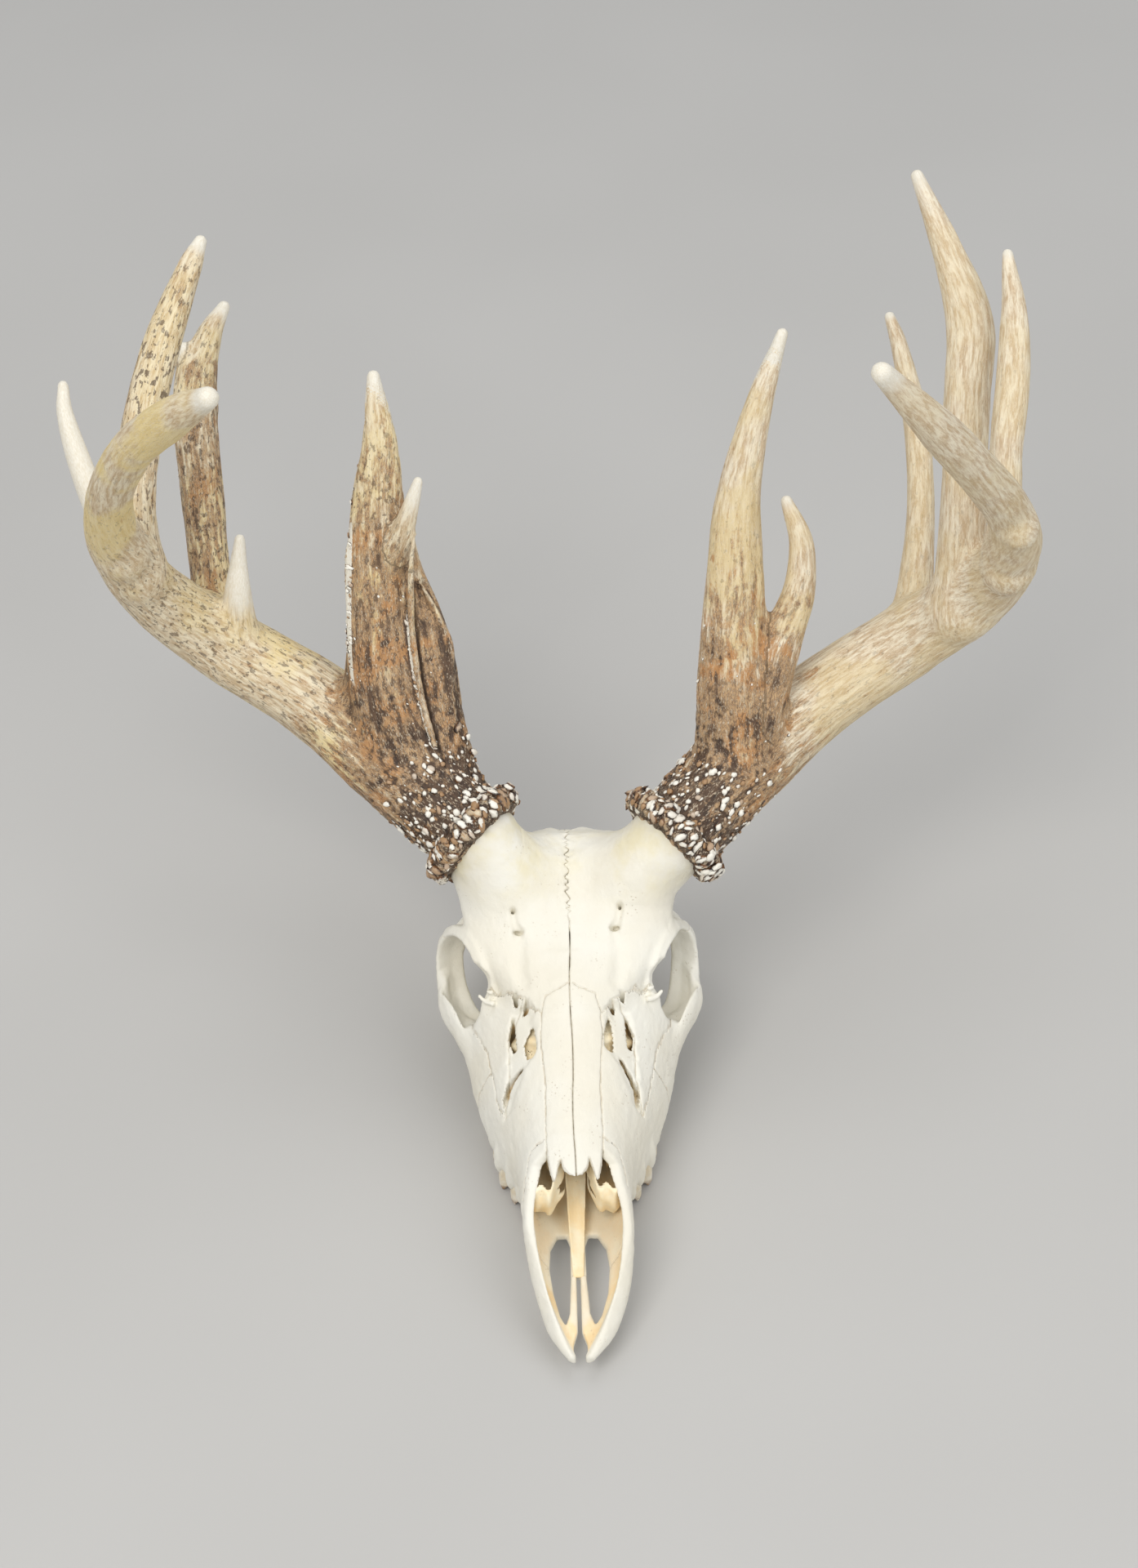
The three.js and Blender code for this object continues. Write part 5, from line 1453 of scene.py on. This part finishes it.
def bone_material(grain):
    """Bleached bone: warm white outside, cream where it is stained, tan inside the nose, and a thin
    brown line where two bones meet. The golden tan inside is partly the bone's own colour and partly
    painted light: a glow of light shining through thin bone, kept light against the shade inside."""
    material, s, shader, place = new_material("bleached_bone", 0.5, 0.35)
    g = use_group(s, grain, Place=place)
    outer = s.mix(s.patches(place, 22, 0.35, 0.68, 3, 0.5), (.85, .825, .735, 1), (.81, .765, .645, 1))
    high = s.span(s.use("ShaderNodeSeparateXYZ", {0: place}, 2), 0.098, 0.125)
    stained = s.times(high, s.patches(place, 40, 0.38, 0.66, 4, 0.6))
    outer = s.mix(s.times(stained, 0.7), outer, (.78, .695, .43, 1))
    # Inside the nose: tan bone plus painted light, a golden glow of light through the thin bone, kept light
    # against the shade there
    inner = s.mix(s.patches(place, 70, 0.35, 0.65, 4, 0.6), (.92, .7, .4, 1), (.94, .82, .58, 1))
    base = s.mix(s.span(s.attribute("inside"), -2.6, -5.5), outer, inner)
    line = s.span(s.attribute("seam"), 0.6, 0.1)
    broken_line = s.times(line, s.patches(place, 260, 0.4, 0.62, 2, 0.55, 0.1))
    base = s.mix(s.times(broken_line, 0.3), base, (.5, .38, .22, 1))
    base = s.mix(s.times(g["Pores"], 0.35), base, (.5, .38, .24, 1))
    normal = s.bump(s.minus(g["Height"], s.times(line, 0.5)), 0.55, 0.0006)
    dress(s, shader, base, normal, s.span(g["Height"], 0.2, 0.7, 0.42, 0.62))
    return material


def inner_bone_material(grain):
    """Thin tan bone inside the nose, darker in its pores. Its golden tan is partly its own colour and
    partly painted light: a glow of light shining through the thin bone, kept light against the shade inside.
    """
    material, s, shader, place = new_material("inner_bone", 0.55, 0.3)
    g = use_group(s, grain, Place=place)
    # Golden tan: the bone's own tan plus a painted glow of light shining through it
    base = s.mix(s.patches(place, 90, 0.32, 0.68, 4, 0.6), (.93, .74, .44, 1), (.95, .86, .64, 1))
    base = s.mix(s.times(g["Pores"], 0.4), base, (.4, .27, .14, 1))
    dress(s, shader, base, s.bump(g["Height"], 0.5, 0.0005), s.span(g["Height"], 0.2, 0.7, 0.45, 0.65))
    return material


def enamel_material():
    """Tooth enamel: ivory crowns, brown along the chewing edge and dull near the bone."""
    material, s, shader, place = new_material("tooth_enamel", 0.32, 0.5)
    height = s.attribute("height")
    fine = s.noise(s.scaled(place, (1, 1, 0.25)), 700, 3)
    base = s.mix(s.patches(place, 120, 0.35, 0.65), (.84, .79, .68, 1), (.74, .64, .46, 1))
    worn = s.times(s.span(height, 5.5, 1.2), s.patches(place, 300, 0.36, 0.56))
    base = s.mix(worn, base, (.3, .17, .08, 1))
    base = s.mix(s.times(s.span(height, 12, 17), 0.35), base, (.55, .42, .26, 1))
    dress(s, shader, base, s.bump(fine, 0.3, 0.0004), s.span(fine, 0.3, 0.7, 0.25, 0.42))
    return material


def antler_grain_group():
    """Streaks and mottling along one length, read from its own grain coordinates. Each is noise with
    [label, squeeze along the length, scale, detail, roughness, distortion]."""
    kinds = [["Streaks", 0.15, 620, 4, 0.68, 0.3], ["Fine", 0.3, 1900, 3, 0.65, 0.0],
             ["Mottle", 0.45, 150, 6, 0.7, 0.4], ["Spots", 0.5, 520, 3, 0.6, 0.2]]
    tree, s, given, out = new_group("antler grain", ["Grain"], [kind[0] for kind in kinds])
    for label, squeeze, *settings in kinds:
        s.join(s.noise(s.scaled(given["Grain"], (1, 1, squeeze)), *settings), out[label])
    return tree


def antler_material(name, grain, pale, tan, ochre):
    """Antler: pale ground streaked along its length, brown in its creases, dark mottling and specks
    near the foot, an ochre wash where it is rubbed, bleached points and edges, and painted highlights:
    pale glints, most on what stands proud."""
    material, s, shader, place = new_material(name, 0.5, 0.4)
    a = use_group(s, grain, Grain=s.attribute("grain_a", "Vector"))
    b = use_group(s, grain, Grain=s.attribute("grain_b", "Vector"))
    share = s.span(s.attribute("share"), 0.3, 0.7)
    streaks, fine, mottle, spots = (
        s.use("ShaderNodeMix", {0: share, 2: a[label], 3: b[label]}, data_type="FLOAT")
        for label in ("Streaks", "Fine", "Mottle", "Spots"))
    brown, wash, speckle, bleached, worn, groove, from_burr, edges = (s.attribute(word) for word in (
        "brown", "ochre", "speckle", "bleached", "worn", "groove", "from_burr", "edges"))
    # Pale ground and ochre wash
    base = s.mix(s.span(streaks, 0.36, 0.64), pale, tan)
    rub = s.patches(place, 26, 0.42, 0.58, 4, 0.6)
    base = s.mix(s.times(s.times(wash, rub), 0.8), base, ochre)
    # How brown each place is, from its mottling, its height, its length's finish and the foot
    level = s.plus(s.times(mottle, 0.6), s.times(streaks, 0.4))
    level = s.minus(level, s.times(s.plus(groove, worn), 0.07))
    level = s.plus(level, s.times(s.minus(brown, 0.5), 0.5))
    foot = s.times(s.span(from_burr, 46, 24), s.patches(place, 60, 0.35, 0.55, 3, 0.55, 0.3))
    level = s.plus(level, s.times(foot, 0.14))
    level = s.plus(level, s.times(s.patches(place, 105, 0.6, 0.7, 3, 0.5), s.times(brown, 0.16)))
    middle = s.mix(s.span(fine, 0.4, 0.6), (.55, .36, .19, 1), (.22, .125, .062, 1))
    rust = s.patches(place, 55, 0.5, 0.6, 4, 0.6)
    middle = s.mix(s.times(rust, s.times(wash, 0.75)), middle, (.52, .24, .075, 1))
    dark = s.mix(s.span(streaks, 0.35, 0.66), (.03, .018, .013, 1), (.13, .075, .042, 1))
    base = s.mix(s.span(level, 0.45, 0.62), base, middle)
    base = s.mix(s.span(level, 0.65, 0.78), base, dark)
    # Dark specks, and painted highlights: pale glints, most on what stands proud
    speck = s.span(s.plus(spots, s.times(speckle, 0.1)), 0.62, 0.68)
    base = s.mix(s.times(speck, s.times(speckle, 0.9)), base, (.085, .05, .03, 1))
    glint = s.span(s.plus(fine, s.times(worn, 0.06)), 0.55, 0.66)
    base = s.mix(s.times(glint, 0.6), base, (.78, .66, .48, 1))
    # Bleached points and rubbed edges
    ivory = s.mix(s.span(fine, 0.35, 0.65), (.84, .8, .7, 1), (.76, .7, .57, 1))
    rim = s.times(s.span(edges, 0.2, 0.75), 0.9)
    tip = s.plus(s.math("MAXIMUM", bleached, rim), s.times(s.minus(mottle, 0.5), 0.7))
    tip = s.span(tip, 0.35, 0.8)
    base = s.mix(tip, base, ivory)
    height = s.plus(s.times(streaks, 0.65), s.times(fine, 0.35))
    height = s.times(height, s.span(bleached, 0.2, 1.0, 1.0, 0.3))
    roughness = s.minus(s.span(streaks, 0.25, 0.75, 0.45, 0.65), s.times(tip, 0.12))
    dress(s, shader, base, s.bump(height, 0.9, 0.0012), roughness)
    return material


def pearl_material():
    """Pearls: polished ivory caps on a dark brown foot."""
    material, s, shader, place = new_material("antler_pearls", 0.38, 0.5)
    patch = s.noise(place, 420, 3, 0.6)
    cap = s.mix(s.span(s.attribute("tint"), 0.5, 0.85), (.9, .86, .76, 1), (.4, .24, .12, 1))
    foot = s.mix(s.span(patch, 0.4, 0.6), (.025, .013, .008, 1), (.2, .09, .035, 1))
    rise = s.span(s.plus(s.attribute("lift"), s.times(s.minus(patch, 0.5), 1.4)), 0.2, 0.7)
    dress(s, shader, s.mix(rise, foot, cap), s.bump(patch, 0.4, 0.0005), s.span(patch, 0.3, 0.7, 0.3, 0.5))
    return material


def floor_material():
    """A plain grey floor."""
    material, s, shader, place = new_material("studio_floor", 0.85, 0.2)
    s.join(s.mix(s.patches(place, 3, 0.3, 0.7, 2), (.50, .49, .47, 1), (.52, .51, .49, 1)),
           shader.inputs["Base Color"])
    return material


def give(piece, material):
    """Makes this the piece's only material."""
    piece.data.materials.clear()
    piece.data.materials.append(material)


# ------------------------------
# Putting the skull together
bone_grain = bone_grain_group()
bleached_bone = bone_material(bone_grain)
tan_bone = inner_bone_material(bone_grain)
enamel = enamel_material()
antler_grain = antler_grain_group()
pearly = pearl_material()

for piece in make_bones():
    give(piece, bleached_bone)
for side, name in ((-1, "right"), (1, "left")):
    give(make_teeth(side, name), enamel)
    scroll = make_scroll(side, name)
    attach(scroll, "root")
    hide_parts("turbinate_" + name)
    give(scroll, tan_bone)
for piece, node in ((make_vomer(), "vomer"), (make_ethmoid(), "ethmoid")):
    keep(piece, "inside", np.full(len(piece.data.vertices), -6))
    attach(piece, "root")
    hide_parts(node)
    give(piece, tan_bone)

ANTLER_NODES = {
    "right": ["burr", "beam_base", "beam_middle", "beam_outer", "beam_end", "brow_blade", "brow_inner_blade",
              "brow_spur", "second_tine", "third_tine", "fourth_tine", "kicker"],
    "left": ["burr", "beam_base", "beam_middle", "beam_outer", "beam_end", "brow_tine", "brow_fork",
             "second_tine", "third_tine", "fourth_tine", "broken_point"],
}
SKINS = {
    "right": ((.85, .75, .55, 1), (.56, .41, .24, 1), (.84, .66, .27, 1)),
    "left": ((.87, .78, .6, 1), (.57, .42, .26, 1), (.72, .56, .28, 1)),
}
for name, antler, finish, ridges in (("right", RIGHT_ANTLER, RIGHT_FINISH, RIGHT_RIDGES),
                                     ("left", LEFT_ANTLER, LEFT_FINISH, [])):
    made = make_antler(antler, finish, name, ridges)
    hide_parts(*[f"{name}_{part}" for part in ANTLER_NODES[name]])
    give(made[0], antler_material("antler_" + name, antler_grain, *SKINS[name]))
    beads = make_pearls(antler, name, made)
    give(beads, pearly)

# ------------------------------
# Floor, light and camera
bpy.ops.mesh.primitive_plane_add(size=24, location=(0, 0, 0))
floor = bpy.context.object
floor.name = "floor"
give(floor, floor_material())


def add_light(name, place, target, size, power, warmth):
    """A square lamp that looks at its target."""
    light = bpy.data.lights.new(name, "AREA")
    light.shape = "RECTANGLE"
    light.size = light.size_y = size
    light.energy = power
    light.color = warmth
    lamp = bpy.data.objects.new(name, light)
    bpy.context.scene.collection.objects.link(lamp)
    lamp.location = place
    lamp.rotation_euler = (Vector(target) - Vector(place)).to_track_quat("-Z", "Y").to_euler()


add_light("key_light", (-0.7, -1.3, 2.0), (0, 0, 0.15), 1.2, 24, (1, 0.98, 0.95))
add_light("fill_light", (1.3, -1.3, 1.4), (0, 0, 0.15), 1.6, 12, (0.97, 0.985, 1))
add_light("top_light", (0.1, 0.6, 2.2), (0, 0, 0.15), 1.6, 9, (1, 1, 1))
world = bpy.data.worlds.new("studio")
world.use_nodes = True
world.node_tree.nodes["Background"].inputs["Color"].default_value = (0.95, 0.97, 1, 1)
world.node_tree.nodes["Background"].inputs["Strength"].default_value = 0.6
bpy.context.scene.world = world
bpy.context.scene.view_settings.view_transform = "Standard"

# The camera looks down at the rack from the front. Its distance and aim are in millimetres.
ELEVATION = math.radians(42)
ROLL = math.radians(1.6)
DISTANCE = 1500
AIM = np.array([2, 238.2, 142.6])
FOCAL_PIXELS = 3968
FRAME_HEIGHT = 1920
backwards = np.array([0, -math.cos(ELEVATION), math.sin(ELEVATION)])
camera_data = bpy.data.cameras.new("camera")
camera_data.sensor_fit = "VERTICAL"
camera_data.angle = 2 * math.atan(FRAME_HEIGHT / 2 / FOCAL_PIXELS)
camera = bpy.data.objects.new("camera", camera_data)
bpy.context.scene.collection.objects.link(camera)
camera.location = (AIM + backwards * DISTANCE + SHIFT) * MM
tilt = Matrix.Rotation(math.pi / 2 - ELEVATION, 4, "X")
camera.rotation_euler = (tilt @ Matrix.Rotation(-ROLL, 4, "Z")).to_euler()
bpy.context.scene.camera = camera
